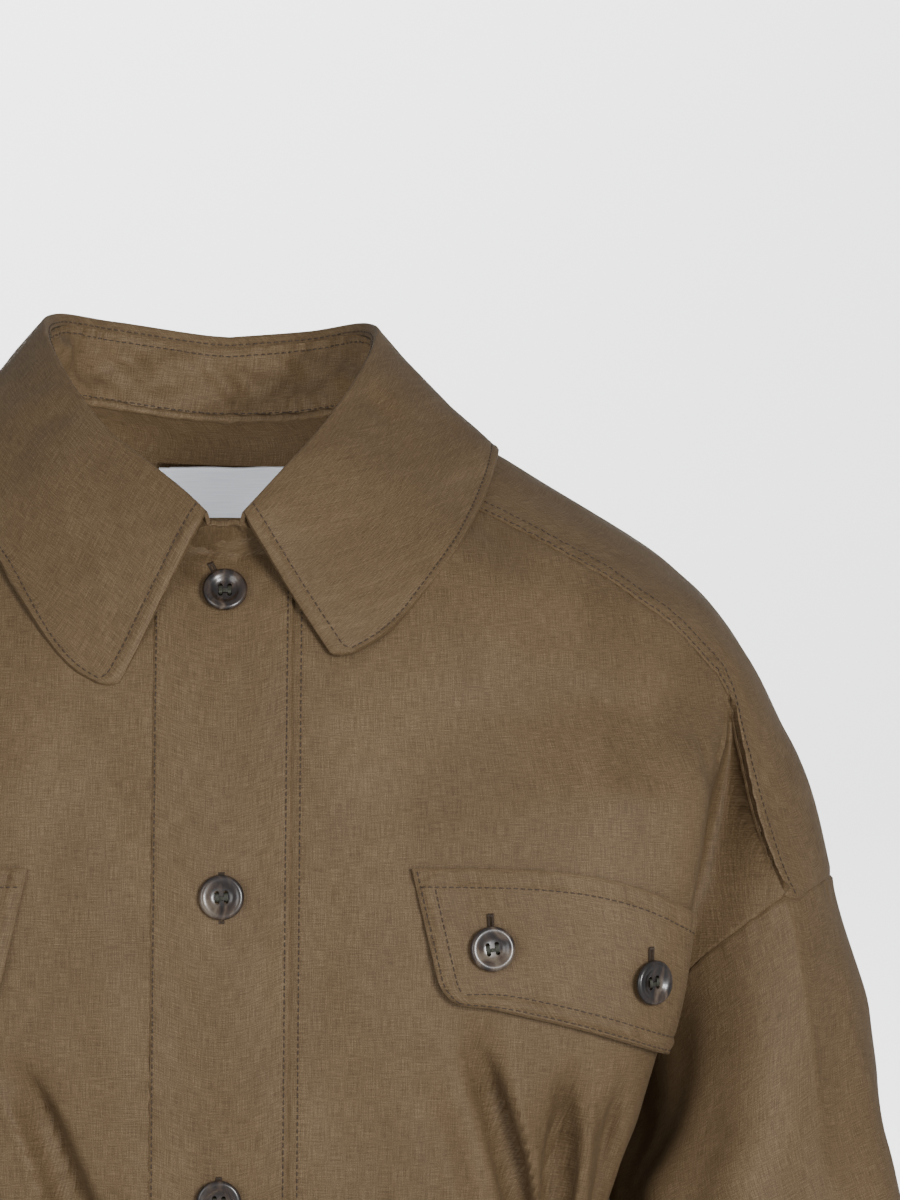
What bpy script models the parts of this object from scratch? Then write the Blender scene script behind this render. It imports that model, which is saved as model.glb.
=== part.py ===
"""Shirt jacket, worn open-necked and filled out with no wearer.

Lengths in the tables are millimetres. "drop" is the distance below the high point of the shoulder, x runs to
the wearer's left, the front faces -Y. Each panel is a smooth surface over (s, t): s runs across it from the
centre to the armhole or side seam, t runs down it. The wall is made by moving the panel inwards along normals
that neighbouring panels share, so that the pieces meet face to face along their seams.
"""

import math

import bmesh
import bpy
import numpy as np
from mathutils import Matrix, Vector

MM = 0.001

# Driving dimensions, millimetres
WALL = 1.6
SEAM_GAP = 0.3
# The wall's inner edge is pulled back further, for the seams that meet at sharp angles
INNER_TRIM = 0.35
BAND_HALF_WIDTH = 30.0
BAND_SEAM_X = 31.0
WAIST_DROP = 425.0
HEM_DROP = 470.0
WRIST_DROP = 598.0
CUFF_DROP = 656.0
NECK_FRONT_DROP = 47.5
BUTTON_DIAMETER = 19.0
BUTTON_THICKNESS = 3.6
BUTTON_HOLE = 1.9
BUTTON_SPACING = 127.0
TOP_BUTTON_DROP = 64.0
LABEL_SIZE = (61.0, 22.0, 1.0)
LABEL_DROP = 10.5
LABEL_GAP = 0.9

# Grid counts: columns and rows of the panels
NECK_COLUMNS = 4
YOKE_NECK_COLUMNS = 6
SEAM_COLUMNS = 8
FOLD_COLUMNS = 5
ROWS = 16
YOKE_ROWS = 6
SLEEVE_ROWS = 12
UNDERARM_ROW = 7

# Top of the shoulder seen from the front, and its level inside the neck hole: x, drop
SHOULDER_LINE = (
    (0, -27), (40, -24), (60, -19), (74, -12), (90, -4), (112, 6), (142, 23), (169, 40), (189, 54),
    (209, 73), (223, 97), (232.5, 119), (240, 133), (246, 148), (251, 166), (255, 183), (257.5, 192),
    (261, 210), (266, 233), (269, 250), (300, 420),
)
ROUNDNESS = 2.3
# How far the shoulder's end reaches past the corners of the yoke
SHOULDER_BULGE = 20.0

# Depth of the cloth in front of and behind the middle plane: drop, front, back
DEPTHS = (
    (-27, 0, 0), (-20, 4, 44), (-10, 10, 62), (8, 40, 79), (30, 66, 90), (50, 86, 97), (80, 101, 103),
    (110, 109, 107), (150, 115, 110), (200, 118, 108), (250, 117, 102), (300, 112, 96), (350, 106, 91),
    (425, 99, 87), (480, 97, 86),
)

# Edge of the armpit fold, below which it is the side of the body: drop, x, depth in front, depth behind
FOLD_EDGE = (
    (95, 214, 44, 40), (106, 210.5, 48, 42), (130, 206, 61, 47), (160, 202, 73, 57), (200, 195, 79, 64),
    (235, 188, 77, 62), (260, 179.5, 70, 57), (290, 170, 60, 50), (317, 163, 52, 44), (360, 152, 42, 38),
    (425, 146, 34, 32), (480, 145, 32, 31),
)
FOLD_ROUNDNESS = 2.6

# How the cloth tucks in behind that edge: t, inset, setback in front, setback behind
TUCK = (
    (0.0, 0, 10, 6), (0.1, 1.5, 15, 11), (0.2, 4, 23, 18), (0.35, 6, 28, 22), (0.45, 6, 32, 24),
    (0.6, 4, 28, 18), (0.8, 0.5, 22, 14), (1.0, -0.8, 18, 12),
)

# Seam round the neck, from the centre of the back to the front band: share, x, drop, side (1 behind)
NECK_SEAM = (
    (0.0, 0, -10, 1), (0.2, 34, -11.5, 1), (0.38, 60, -15, 1), (0.5, 74, -12, 0), (0.58, 77, -2, -1),
    (0.66, 75, 12, -1), (0.78, 64, 27, -1), (0.9, 46, 40, -1), (1.0, 31, NECK_FRONT_DROP, -1),
)
NECK_SHARE_OF_YOKE = 0.66

# Yoke seams, from the neck or centre out to the armhole: share, x, drop
FRONT_YOKE_SEAM = (
    (0.0, 75, 12), (0.13, 104, 29), (0.25, 127, 40.5), (0.36, 148, 52.5), (0.44, 162, 61), (0.51, 175, 70.5),
    (0.6, 189, 81), (0.68, 200, 92.5), (0.78, 210.5, 106), (0.86, 216, 130), (0.93, 223, 160), (1.0, 235, 191),
)
BACK_YOKE_SEAM = (
    (0.0, 0, 96), (0.2, 58, 97), (0.4, 112, 102), (0.55, 152, 112), (0.68, 182, 125), (0.78, 201, 141),
    (0.86, 211, 158), (0.93, 221, 174), (1.0, 235, 191),
)
FOLD_SHARE = 0.78

# Armhole below the yoke: share, x, y in front, y behind, drop
ARMHOLE = (
    (0.0, 235, -58, 55, 191), (0.25, 214, -56, 54, 206), (0.5, 194, -45, 44, 223), (0.75, 180, -21, 26, 246),
    (1.0, 172, 6, 6, 262),
)
UNDERARM_T = 0.45

# Side seam: drop, x, y
SIDE_SEAM = (
    (262, 172, 6), (275, 165, 6), (290, 160.5, 6), (317, 156, 6), (360, 150, 6), (425, 146.5, 6), (480, 145, 6),
)

# Sleeve rings: drop, centre x, centre y, half width, half depth
SLEEVE = (
    (180, 203, 0, 52, 60), (262, 221.5, 0, 49.5, 61), (290, 227, 0, 49.5, 60.5), (317, 232, -1, 50, 60),
    (400, 248, -6, 50, 56),
    (480, 264, -14, 47, 52), (550, 278, -24, 44, 48), (598, 287, -31, 42, 45),
    (660, 299, -41, 38, 41),
)

# Folds of the lower fronts, drawn in towards the waist: side, x and drop at top, x and drop at foot, width, depth
FOLDS = (
    (1, 97, 228, 127, 322, 8, -5.5), (1, 110, 255, 133, 330, 6, 3.5), (1, 143, 258, 138, 345, 8, -6.5),
    (1, 157, 270, 145, 340, 6, 3.5), (1, 166, 262, 150, 335, 6, -4.5), (1, 70, 330, 76, 440, 8, -4),
    (1, 104, 335, 106, 440, 8, -4), (1, 50, 350, 54, 440, 7, -3), (-1, 90, 255, 58, 330, 9, -5),
    (-1, 118, 262, 92, 345, 8, -5), (-1, 142, 258, 124, 350, 8, -5.5), (-1, 158, 270, 142, 345, 6, 3.5),
    (-1, 72, 335, 70, 440, 8, -4), (-1, 108, 340, 104, 440, 8, -4), (-1, 46, 350, 48, 440, 7, -3),
)

# Collar lines from the centre of the back to the front point: share, x, y, height of the roll
COLLAR_ROLL = (
    (0.0, 0, 66, 43), (0.22, 34, 61, 46), (0.42, 59, 38, 50.5), (0.56, 63, 8, 45), (0.68, 56, -26, 29),
    (0.8, 40, -60, 6), (0.9, 23, -84, -13), (1.0, 7.5, -98, -30),
)
# share, x, drop, side (1 behind)
COLLAR_EDGE = (
    (0.0, 0, 23, 1), (0.22, 52, 21, 1), (0.42, 94, 15, 1), (0.56, 113, 6.8, 0), (0.66, 110.5, 19, -1),
    (0.76, 100, 42.5, -1), (0.86, 84, 65, -1), (0.94, 63, 84.5, -1), (1.0, 45, 92, -1),
)
COLLAR_LIFT = 4.2
COLLAR_CENTRE_Z = -60.0
COLLAR_WALL = 2.0
COLLAR_SWELL = 3.0
COLLAR_TIP = 0.035
COLLAR_COLUMNS = 18
ROLL_RADIUS = 2.4
ROLL_SEAM_DEPTH = 5.0
STAND_LAP = 0.2
STAND_END_X = 16.0
STAND_TOP_Y = -90.5
STAND_TOP_Z = -35.5

# Bands down the fronts: how far the top one stands proud, and how far the lower one lies under the cloth
PLACKET_LIFT = 1.0
BAND_DEPTH = 1.2
BAND_ROWS = 16
# Rows stand closer at the top, where the front curves most
BAND_ROW_POWER = 1.5
BAND_WALL = 2.2
WAISTBAND_LAP = 1.4

# Chest flaps: x of the inner top corner by side
FLAP_INNER_X = {1: 78.0, -1: 82.0}
FLAP_TOP_DROP = 179.0
FLAP_SLOPE = 19.0
FLAP_FOOT_DROP = 233.0
FLAP_OUTER_FOOT_DROP = 255.0
FLAP_SLANT = 13.0
FLAP_CORNER = 10.0
FLAP_LIFT = 2.2
FLAP_WALL = 2.2
FLAP_COLUMNS = 12
# Buttons on a flap: share across, drop
FLAP_BUTTONS = ((0.121, 212.5), (0.645, 226))
FLAP_BUTTON_TURN = 0.15

BUTTON_SIDES = 16
BUTTON_GAP = 0.3
HOLE_OFFSET = 1.9

CLOTH = (0.235, 0.168, 0.102, 1)
HORN = (0.05, 0.045, 0.04, 1)
SATIN = (0.62, 0.66, 0.72, 1)


def smooth(x):
    """0 below 0, 1 above 1, and an even S between them."""
    x = np.clip(x, 0, 1)
    return x * x * (3 - 2 * x)


def along(table, at):
    """Reads a table at places given in its first column, on a smooth curve through its rows."""
    table = np.array(table, float)
    at = np.asarray(at, float)
    knots, values = table[:, 0], table[:, 1:]
    slopes = np.gradient(values, knots, axis=0)
    i = np.clip(np.searchsorted(knots, at, side="right") - 1, 0, len(knots) - 2)
    step = (knots[i + 1] - knots[i])[..., None]
    f = np.clip((at[..., None] - knots[i][..., None]) / step, 0, 1)
    start, end = values[i], values[i + 1]
    curve = start + (end - start) * (f * f * (3 - 2 * f))
    curve += step * f * (1 - f) * (slopes[i] * (1 - f) - slopes[i + 1] * f)
    return np.moveaxis(curve, -1, 0)


LINE_X = np.linspace(0, SHOULDER_LINE[-1][0], 1201)
LINE_DROP = np.maximum.accumulate(along(SHOULDER_LINE, LINE_X)[0] + LINE_X * 1e-6)


def shoulder_drop(x):
    return np.interp(np.abs(x), LINE_X, LINE_DROP)


def half_width(drop):
    return np.interp(drop, LINE_DROP, LINE_X)


def shell_depth(x, drop, side):
    """Depth of the shoulder shell: a rounded slice at this drop, as wide as the shoulder line allows."""
    front, back = along(DEPTHS, drop)
    inside = np.clip(1 - (np.abs(x) / half_width(drop)) ** ROUNDNESS, 0, 1)
    return np.where(side > 0, back, front) * inside ** (1 / ROUNDNESS)


def shell_point(x, reach):
    """Point of the shoulder shell. reach squared is the drop below the shoulder line, and its sign the side."""
    drop = shoulder_drop(x) + reach * reach
    return np.stack([x, np.sign(reach) * shell_depth(x, drop, np.sign(reach)), -drop], -1)


def reach_of(x, drop, side):
    return side * np.sqrt(np.clip(drop - shoulder_drop(x), 0, None))


def seam_reach(table, share, side=None):
    """x and reach along a seam table, whose rows hold share, x, drop and, where side is None, the side."""
    rows = np.array(table, float)
    sides = rows[:, 3] if side is None else side
    reaches = reach_of(rows[:, 1], rows[:, 2], sides)
    return along(np.stack([rows[:, 0], rows[:, 1], reaches], 1), share)


def fold_depth(side, x, drop):
    """Sum of the soft troughs and ridges drawn in towards the waist."""
    total = np.zeros(np.broadcast(x, drop).shape)
    for where, x_top, drop_top, x_foot, drop_foot, width, depth in FOLDS:
        if where != side:
            continue
        f = (drop - drop_top) / (drop_foot - drop_top)
        across = (x - x_top - (x_foot - x_top) * np.clip(f, 0, 1.2)) / width
        fade = smooth(f / 0.45) * (1 - smooth((drop - WAIST_DROP + 50) / 50))
        total += depth * np.exp(-across * across) * fade
    return total


def panel_depth(x, drop, behind, side):
    """Depth of a front or back: the shoulder shell above, and the body as far as the armpit fold below."""
    front, back = along(DEPTHS, drop)
    edge, edge_front, edge_back = along(FOLD_EDGE, np.maximum(drop, FOLD_EDGE[0][0]))
    middle, rim = (back, edge_back) if behind else (front, edge_front)
    inside = np.clip(1 - (np.abs(x) / edge) ** FOLD_ROUNDNESS, 0, 1)
    body = rim + (middle - rim) * inside ** (1 / FOLD_ROUNDNESS)
    start = BACK_FOLD_DROP if behind else FRONT_FOLD_DROP
    share = smooth((drop - start) / 50)
    depth = (1 - share) * shell_depth(x, drop, 1 if behind else -1) + share * body
    if not behind:
        depth = depth + fold_depth(side, np.abs(x), drop)
    return depth


FRONT_FOLD_DROP = float(along(FRONT_YOKE_SEAM, np.array([FOLD_SHARE]))[1][0])
BACK_FOLD_DROP = float(along(BACK_YOKE_SEAM, np.array([FOLD_SHARE]))[1][0])


def top_seam(s, behind):
    """x and reach along the top of a panel: the neck seam, then the yoke seam. The back has no neck seam."""
    if behind:
        return seam_reach(BACK_YOKE_SEAM, np.interp(s, [0, BACK_FOLD_S, 1], [0, FOLD_SHARE, 1]), 1)
    neck = seam_reach(NECK_SEAM, 1 - (1 - NECK_SHARE_OF_YOKE) * np.clip(s / NECK_S, 0, 1))
    yoke = seam_reach(FRONT_YOKE_SEAM, np.interp(s, [NECK_S, FRONT_FOLD_S, 1], [0, FOLD_SHARE, 1]), -1)
    return np.where(s < NECK_S, neck, yoke)


# Where the neck seam ends and the armpit fold starts along the top of a front, a half back and a half yoke
FRONT_COLUMNS = NECK_COLUMNS + SEAM_COLUMNS + FOLD_COLUMNS
NECK_S = NECK_COLUMNS / FRONT_COLUMNS
FRONT_FOLD_S = (NECK_COLUMNS + SEAM_COLUMNS) / FRONT_COLUMNS
YOKE_COLUMNS = YOKE_NECK_COLUMNS + SEAM_COLUMNS + FOLD_COLUMNS
YOKE_NECK_U = YOKE_NECK_COLUMNS / YOKE_COLUMNS
BACK_COLUMNS = YOKE_COLUMNS
BACK_FOLD_S = (YOKE_NECK_COLUMNS + SEAM_COLUMNS) / BACK_COLUMNS


def panel_point(s, t, behind, side=1):
    """Point of a front (behind False) or of half the back, on the wearer's left. side picks the folds."""
    fold_s = BACK_FOLD_S if behind else FRONT_FOLD_S
    first_x = 0.0 if behind else BAND_SEAM_X
    start = BACK_FOLD_DROP if behind else FRONT_FOLD_DROP
    sign = 1 if behind else -1
    top_x, top_reach = top_seam(s, behind)
    top_drop = shoulder_drop(top_x) + top_reach * top_reach
    fold_top_x = top_seam(np.array([fold_s]), behind)[0][0]

    edge_drop = start + (WAIST_DROP - start) * t
    edge_x = along(FOLD_EDGE, edge_drop)[0]
    edge_x = edge_x + (fold_top_x - edge_x) * (1 - smooth(t / 0.15))
    seam_share = (top_x - first_x) / (fold_top_x - first_x)
    ring_share = np.sin(np.pi / 2 * np.clip(s / fold_s, 0, 1))
    settled = smooth(t / 0.4)
    x = first_x + (edge_x - first_x) * ((1 - settled) * seam_share + settled * ring_share)
    drop = top_drop + (WAIST_DROP - top_drop) * t
    inner = np.stack([x, sign * panel_depth(x, drop, behind, side), -drop], -1)

    # Behind the fold: a smooth curve from its edge through the tuck to the armhole or side seam
    share = np.clip((s - fold_s) / (1 - fold_s), 0, 1)
    edge = np.stack([edge_x, sign * panel_depth(edge_x, edge_drop, behind, side), -edge_drop], -1)
    arm = along(ARMHOLE, np.clip(t / UNDERARM_T, 0, 1))
    side_drop = ARMHOLE[-1][4] + (WAIST_DROP - ARMHOLE[-1][4]) * (t - UNDERARM_T) / (1 - UNDERARM_T)
    hip = along(SIDE_SEAM, np.maximum(side_drop, SIDE_SEAM[0][0]))
    above = (t < UNDERARM_T)[..., None]
    seam = np.where(
        above,
        np.stack([arm[0], arm[2 if behind else 1], -arm[3]], -1),
        np.stack([hip[0], hip[1], -side_drop], -1),
    )
    inset, setback_front, setback_back = along(TUCK, t)
    setback = setback_back if behind else setback_front
    middle_z = (edge[..., 2] + seam[..., 2]) / 2
    tuck = np.stack([edge[..., 0] - inset, edge[..., 1] - sign * setback, middle_z], -1)
    leave = np.stack([0 * edge_x, -sign * 1.6 * setback, 0 * edge_x], -1)
    outer = hermite_pair(edge, leave, tuck, seam, share)
    corner = shell_point(top_x, top_reach)
    blend = smooth(t / 0.12)[..., None]
    outer = corner * (1 - blend) + outer * blend
    return np.where((s <= fold_s)[..., None], inner, outer)


def hermite_pair(start, leave, middle, end, share, knot=0.42):
    """Curve from start, which it leaves along leave, through middle at knot, to end."""
    share = share[..., None]
    through = end - start
    arrive = (end - middle) / (1 - knot)
    first = cubic(start, leave, middle, through, np.clip(share / knot, 0, 1), knot)
    second = cubic(middle, through, end, arrive, np.clip((share - knot) / (1 - knot), 0, 1), 1 - knot)
    return np.where(share < knot, first, second)


def cubic(start, start_slope, end, end_slope, f, step):
    curve = start + (end - start) * (f * f * (3 - 2 * f))
    return curve + step * f * (1 - f) * (start_slope * (1 - f) - end_slope * f)


def yoke_point(u, v):
    """Point of the yoke's left half: u runs from the centre of the back out to the armhole, v front to back."""
    neck = seam_reach(NECK_SEAM, NECK_SHARE_OF_YOKE * np.clip(u / YOKE_NECK_U, 0, 1))
    seam = seam_reach(FRONT_YOKE_SEAM, np.interp(u, [YOKE_NECK_U, BACK_FOLD_S, 1], [0, FOLD_SHARE, 1]), -1)
    front = np.where(u < YOKE_NECK_U, neck, seam)
    back = seam_reach(BACK_YOKE_SEAM, np.interp(u, [0, BACK_FOLD_S, 1], [0, FOLD_SHARE, 1]), 1)
    bulge = SHOULDER_BULGE * u**6 * 4 * v * (1 - v)
    x = front[0] * (1 - v) + back[0] * v + bulge
    reach = front[1] * (1 - v) + back[1] * v
    return shell_point(x, reach)


def sleeve_top(front, back):
    """Ring of the armhole, from the underarm up the front, over the yoke and down the back."""
    yoke = yoke_point(np.ones(YOKE_ROWS + 1), np.linspace(0, 1, YOKE_ROWS + 1))
    return np.concatenate([front[UNDERARM_ROW:0:-1, -1], yoke, back[1:UNDERARM_ROW, -1]])


def sleeve_grid(ring):
    """The sleeve's rings: ellipses at their drop, drawn out at the top to the armhole's own outline."""
    v = np.linspace(0, 1, SLEEVE_ROWS + 1)[:, None] ** 1.05
    top_drop = -ring[None, :, 2]
    drop = top_drop + (WRIST_DROP - top_drop) * v
    centre_x, centre_y, width, depth = along(SLEEVE, top_drop)
    turn = np.unwrap(np.arctan2((ring[None, :, 1] - centre_y) / depth, (ring[None, :, 0] - centre_x) / width))
    count = ring.shape[0]
    even = turn[0, 0] + (np.arange(count) / count)[None, :] * 2 * np.pi * np.sign(turn[0, -1] - turn[0, 0])
    missing_x = ring[None, :, 0] - centre_x - width * np.cos(turn)
    missing_y = ring[None, :, 1] - centre_y - depth * np.sin(turn)
    fade = 1 - smooth(v / 0.45)
    angle = turn * fade + even * (1 - fade)
    centre_x, centre_y, width, depth = along(SLEEVE, drop)
    x = centre_x + width * np.cos(angle) + missing_x * fade
    y = centre_y + depth * np.sin(angle) + missing_y * fade
    return np.stack([x, y, -drop], -1)


def mirrored(grid):
    """The same grid on the wearer's right, with its columns turned round so that it still faces out."""
    return (grid * np.array([-1, 1, 1]))[:, ::-1]


def quad_normals(points, faces):
    corners = points[faces]
    normals = np.cross(corners[:, 2] - corners[:, 0], corners[:, 3] - corners[:, 1])
    return normals / np.linalg.norm(normals, axis=1, keepdims=True)


def grid_faces(rows, columns, wrap):
    """Quads of a grid of points, rows by columns, as four point numbers each."""
    i = np.arange(rows - 1)[:, None]
    j = np.arange(columns if wrap else columns - 1)[None, :]
    k = (j + 1) % columns
    quads = np.stack([i * columns + j, (i + 1) * columns + j, (i + 1) * columns + k, i * columns + k], -1)
    return quads.reshape(-1, 4)


def shared_normals(grids):
    """Normals of every grid's points, the same where two grids meet at a seam."""
    points, faces, starts = [], [], []
    count = 0
    for grid, wrap in grids.values():
        starts.append(count)
        points.append(grid.reshape(-1, 3))
        faces.append(grid_faces(grid.shape[0], grid.shape[1], wrap) + count)
        count += grid.shape[0] * grid.shape[1]
    points, faces = np.concatenate(points), np.concatenate(faces)
    _, index = np.unique(np.round(points / 0.02).astype(np.int64), axis=0, return_inverse=True)
    index = index.reshape(-1)
    normals = quad_normals(points, faces)
    total = np.zeros((index.max() + 1, 3))
    for corner in range(4):
        np.add.at(total, index[faces[:, corner]], normals)
    total /= np.linalg.norm(total, axis=1, keepdims=True)
    at_points = total[index]
    return {
        name: at_points[start : start + grid.shape[0] * grid.shape[1]].reshape(grid.shape)
        for (name, (grid, _)), start in zip(grids.items(), starts)
    }


def grid_normals(grid, wrap=False):
    return shared_normals({"only": (grid, wrap)})["only"]


def trimmed(grid, normals, wrap=False, half=SEAM_GAP / 2):
    """Moves the grid's edges in by half a seam gap, square to the wall's own end face."""
    result = grid.copy()
    edges = [(0, 1, 0), (-1, -2, 0)]
    if not wrap:
        edges += [(0, 1, 1), (-1, -2, 1)]
    for edge, inner, axis in edges:
        line, normal = grid.take(edge, axis), normals.take(edge, axis)
        if wrap:
            run = np.roll(line, -1, 0) - np.roll(line, 1, 0)
        else:
            run = np.gradient(line, axis=0)
        step = np.cross(normal, run)
        step /= np.linalg.norm(step, axis=-1, keepdims=True)
        towards = ((grid.take(inner, axis) - line) * step).sum(-1, keepdims=True)
        step *= half * np.sign(towards)
        if axis == 0:
            result[edge] += step
        else:
            result[:, edge] += step
    return result


def material(name, colour, roughness, metallic=0.0):
    found = bpy.data.materials.get(name)
    if found:
        return found
    made = bpy.data.materials.new(name)
    made.use_nodes = True
    made.diffuse_color = colour
    shader = made.node_tree.nodes["Principled BSDF"]
    shader.inputs["Base Color"].default_value = colour
    shader.inputs["Roughness"].default_value = roughness
    shader.inputs["Metallic"].default_value = metallic
    return made


def new_object(name, mesh, finish):
    mesh.materials.append(material(*finish))
    made = bpy.data.objects.new(name, mesh)
    bpy.context.scene.collection.objects.link(made)
    made.parent = bpy.data.objects["jacket"]
    return made


def cloth_piece(name, outer, inner, wrap=False, finish=("cloth", CLOTH, 0.8)):
    """A wall between two grids of the same size, closed round its edges."""
    rows, columns = outer.shape[:2]
    count = rows * columns
    front = grid_faces(rows, columns, wrap)
    back = front[:, ::-1] + count
    if wrap:
        loops = [np.arange(columns), np.arange(count - columns, count)[::-1]]
        rims = [rim_faces(np.append(loop, loop[0]), count) for loop in loops]
    else:
        numbers = np.arange(count).reshape(rows, columns)
        loop = np.concatenate([numbers[0, :-1], numbers[:-1, -1], numbers[-1, :0:-1], numbers[::-1, 0]])
        rims = [rim_faces(loop, count)]
    points = np.concatenate([outer.reshape(-1, 3), inner.reshape(-1, 3)]) * MM
    mesh = bpy.data.meshes.new(name)
    mesh.from_pydata(points.tolist(), [], np.concatenate([front, back] + rims).tolist())
    mesh.shade_smooth()
    mesh.set_sharp_from_angle(angle=math.radians(50))
    shape = bmesh.new()
    shape.from_mesh(mesh)
    bmesh.ops.recalc_face_normals(shape, faces=shape.faces)
    shape.to_mesh(mesh)
    shape.free()
    return new_object(name, mesh, finish)


def rim_faces(loop, count):
    return np.stack([loop[:-1], loop[1:], loop[1:] + count, loop[:-1] + count], 1)


def clear_scene():
    for old in list(bpy.data.objects):
        bpy.data.objects.remove(old, do_unlink=True)
    holder = bpy.data.objects.new("jacket", None)
    bpy.context.scene.collection.objects.link(holder)


def panel_grid(behind, side=1):
    count = BACK_COLUMNS if behind else FRONT_COLUMNS
    t = np.concatenate([
        np.linspace(0, UNDERARM_T, UNDERARM_ROW + 1),
        np.linspace(UNDERARM_T, 1, ROWS - UNDERARM_ROW + 1)[1:],
    ])
    s, t = np.meshgrid(np.linspace(0, 1, count + 1), t)
    return panel_point(s, t, behind, side)


def body_grids():
    """The grids of the body panels and sleeves, all facing out."""
    left, right = panel_grid(False, 1), panel_grid(False, -1)
    half_back = panel_grid(True)
    u, v = np.meshgrid(np.linspace(0, 1, YOKE_COLUMNS + 1), np.linspace(0, 1, YOKE_ROWS + 1))
    half_yoke = yoke_point(u, v)
    sleeve = sleeve_grid(sleeve_top(left, half_back))
    return {
        "front_left": (left, False),
        "front_right": (mirrored(right), False),
        "back": (joined_halves(half_back)[:, ::-1], False),
        "yoke": (joined_halves(half_yoke)[:, ::-1], False),
        "sleeve_left": (sleeve, True),
        "sleeve_right": (mirrored(sleeve), True),
    }


def joined_halves(half):
    """A grid across both sides, from the wearer's right to the left, out of its left half."""
    return np.concatenate([mirrored(half)[:, :-1], half], 1)


def add_body(grids):
    normals = shared_normals(grids)
    for name, (grid, wrap) in grids.items():
        outer = trimmed(grid, normals[name], wrap)
        inner = trimmed(grid - WALL * normals[name], normals[name], wrap, SEAM_GAP / 2 + INNER_TRIM)
        cloth_piece(name, outer, inner, wrap)


def collar_lines(c):
    """Neck seam, roll line, edge of the fall and outward direction at c, from the centre back to the front."""
    x, reach = seam_reach(NECK_SEAM, np.minimum(c, 1))
    neck = shell_point(x, reach)
    roll = np.stack(along(COLLAR_ROLL, np.minimum(c, 1)), -1)
    x, reach = seam_reach(COLLAR_EDGE, np.minimum(c, 1))
    edge = shell_point(x, reach)
    lift = edge * np.array([1, 1, 0]) - np.array([0, 0, COLLAR_CENTRE_Z])
    edge = edge + COLLAR_LIFT * lift / np.linalg.norm(lift, axis=-1, keepdims=True)
    step = 0.01
    ahead = np.stack(along(COLLAR_ROLL, np.minimum(c + step, 1)), -1)
    behind = np.stack(along(COLLAR_ROLL, np.clip(c - step, -1, 1 - step)), -1)
    run = ahead - behind
    outward = np.stack([-run[..., 1], run[..., 0], 0 * run[..., 0]], -1)
    outward /= np.linalg.norm(outward, axis=-1, keepdims=True)
    return neck, roll, edge, outward


def collar_fall(c, v):
    """Point of the fall: v runs from its seam inside the neck, over the roll and down to its edge."""
    c = c * (1 - COLLAR_TIP * (1 - np.sqrt(1 - np.clip((v - 0.86) / 0.14, 0, 1) ** 2)))
    _, roll, edge, outward = collar_lines(c)
    up = np.array([0, 0, 1.0])
    inside = roll - ROLL_RADIUS * outward - ROLL_SEAM_DEPTH * up
    shoulder = roll + 1.2 * ROLL_RADIUS * outward - ROLL_RADIUS * up
    middle = (shoulder + edge) / 2 + COLLAR_SWELL * (outward * 0.8 + up * 0.6)
    stops = (0.0, 0.07, 0.14, 0.5, 1.0)
    lines = np.stack([inside, roll, shoulder, middle, edge])
    return through(stops, lines, v)


def through(stops, lines, at):
    """Smooth curve through points given at stops. lines holds one array of points for each stop."""
    slopes = np.gradient(lines, np.array(stops), axis=0)
    result = np.zeros(lines.shape[1:])
    for i in range(len(stops) - 1):
        step = stops[i + 1] - stops[i]
        f = np.clip((at - stops[i]) / step, 0, 1)[..., None]
        part = cubic(lines[i], slopes[i], lines[i + 1], slopes[i + 1], f, step)
        here = (at >= stops[i]) if i else (at >= -1)
        result = np.where(here[..., None], part, result)
    return result


def stand_outward(c):
    """Level direction of the stand's wall, straight ahead where its ends lap."""
    outward = collar_lines(c)[3]
    ahead = smooth((c[..., None] - 0.9) / 0.15)
    return outward * (1 - ahead) + np.array([0, -1, 0]) * ahead


def collar_stand(c, v, over):
    """Point of the stand, from the neck seam up to the fall. Past c = 1 its end laps the other at the front."""
    neck, roll, _, outward = collar_lines(c)
    up = np.array([0, 0, 1.0])
    gap = SEAM_GAP + 0.6 * smooth((c[..., None] - 0.7) / 0.3)
    top = roll - (ROLL_RADIUS - WALL) * outward - (ROLL_SEAM_DEPTH + gap) * up
    lap = np.clip((c - 1) / STAND_LAP, 0, 1)[..., None]
    layer = np.array([0, -1.3 if over else 1.3, 0])
    foot_end = np.array([-STAND_END_X, -shell_depth(0, NECK_FRONT_DROP, -1), -NECK_FRONT_DROP - 0.6])
    top_end = np.array([-STAND_END_X, STAND_TOP_Y, STAND_TOP_Z])
    neck = neck + (foot_end - neck) * lap
    top = top + (top_end - top) * lap
    share = v[..., None]
    point = neck + (0, 0, 0.5) + (top - neck - (0, 0, 0.5)) * share
    return point + layer * smooth((c[..., None] - 1) / STAND_LAP * 3)


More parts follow.
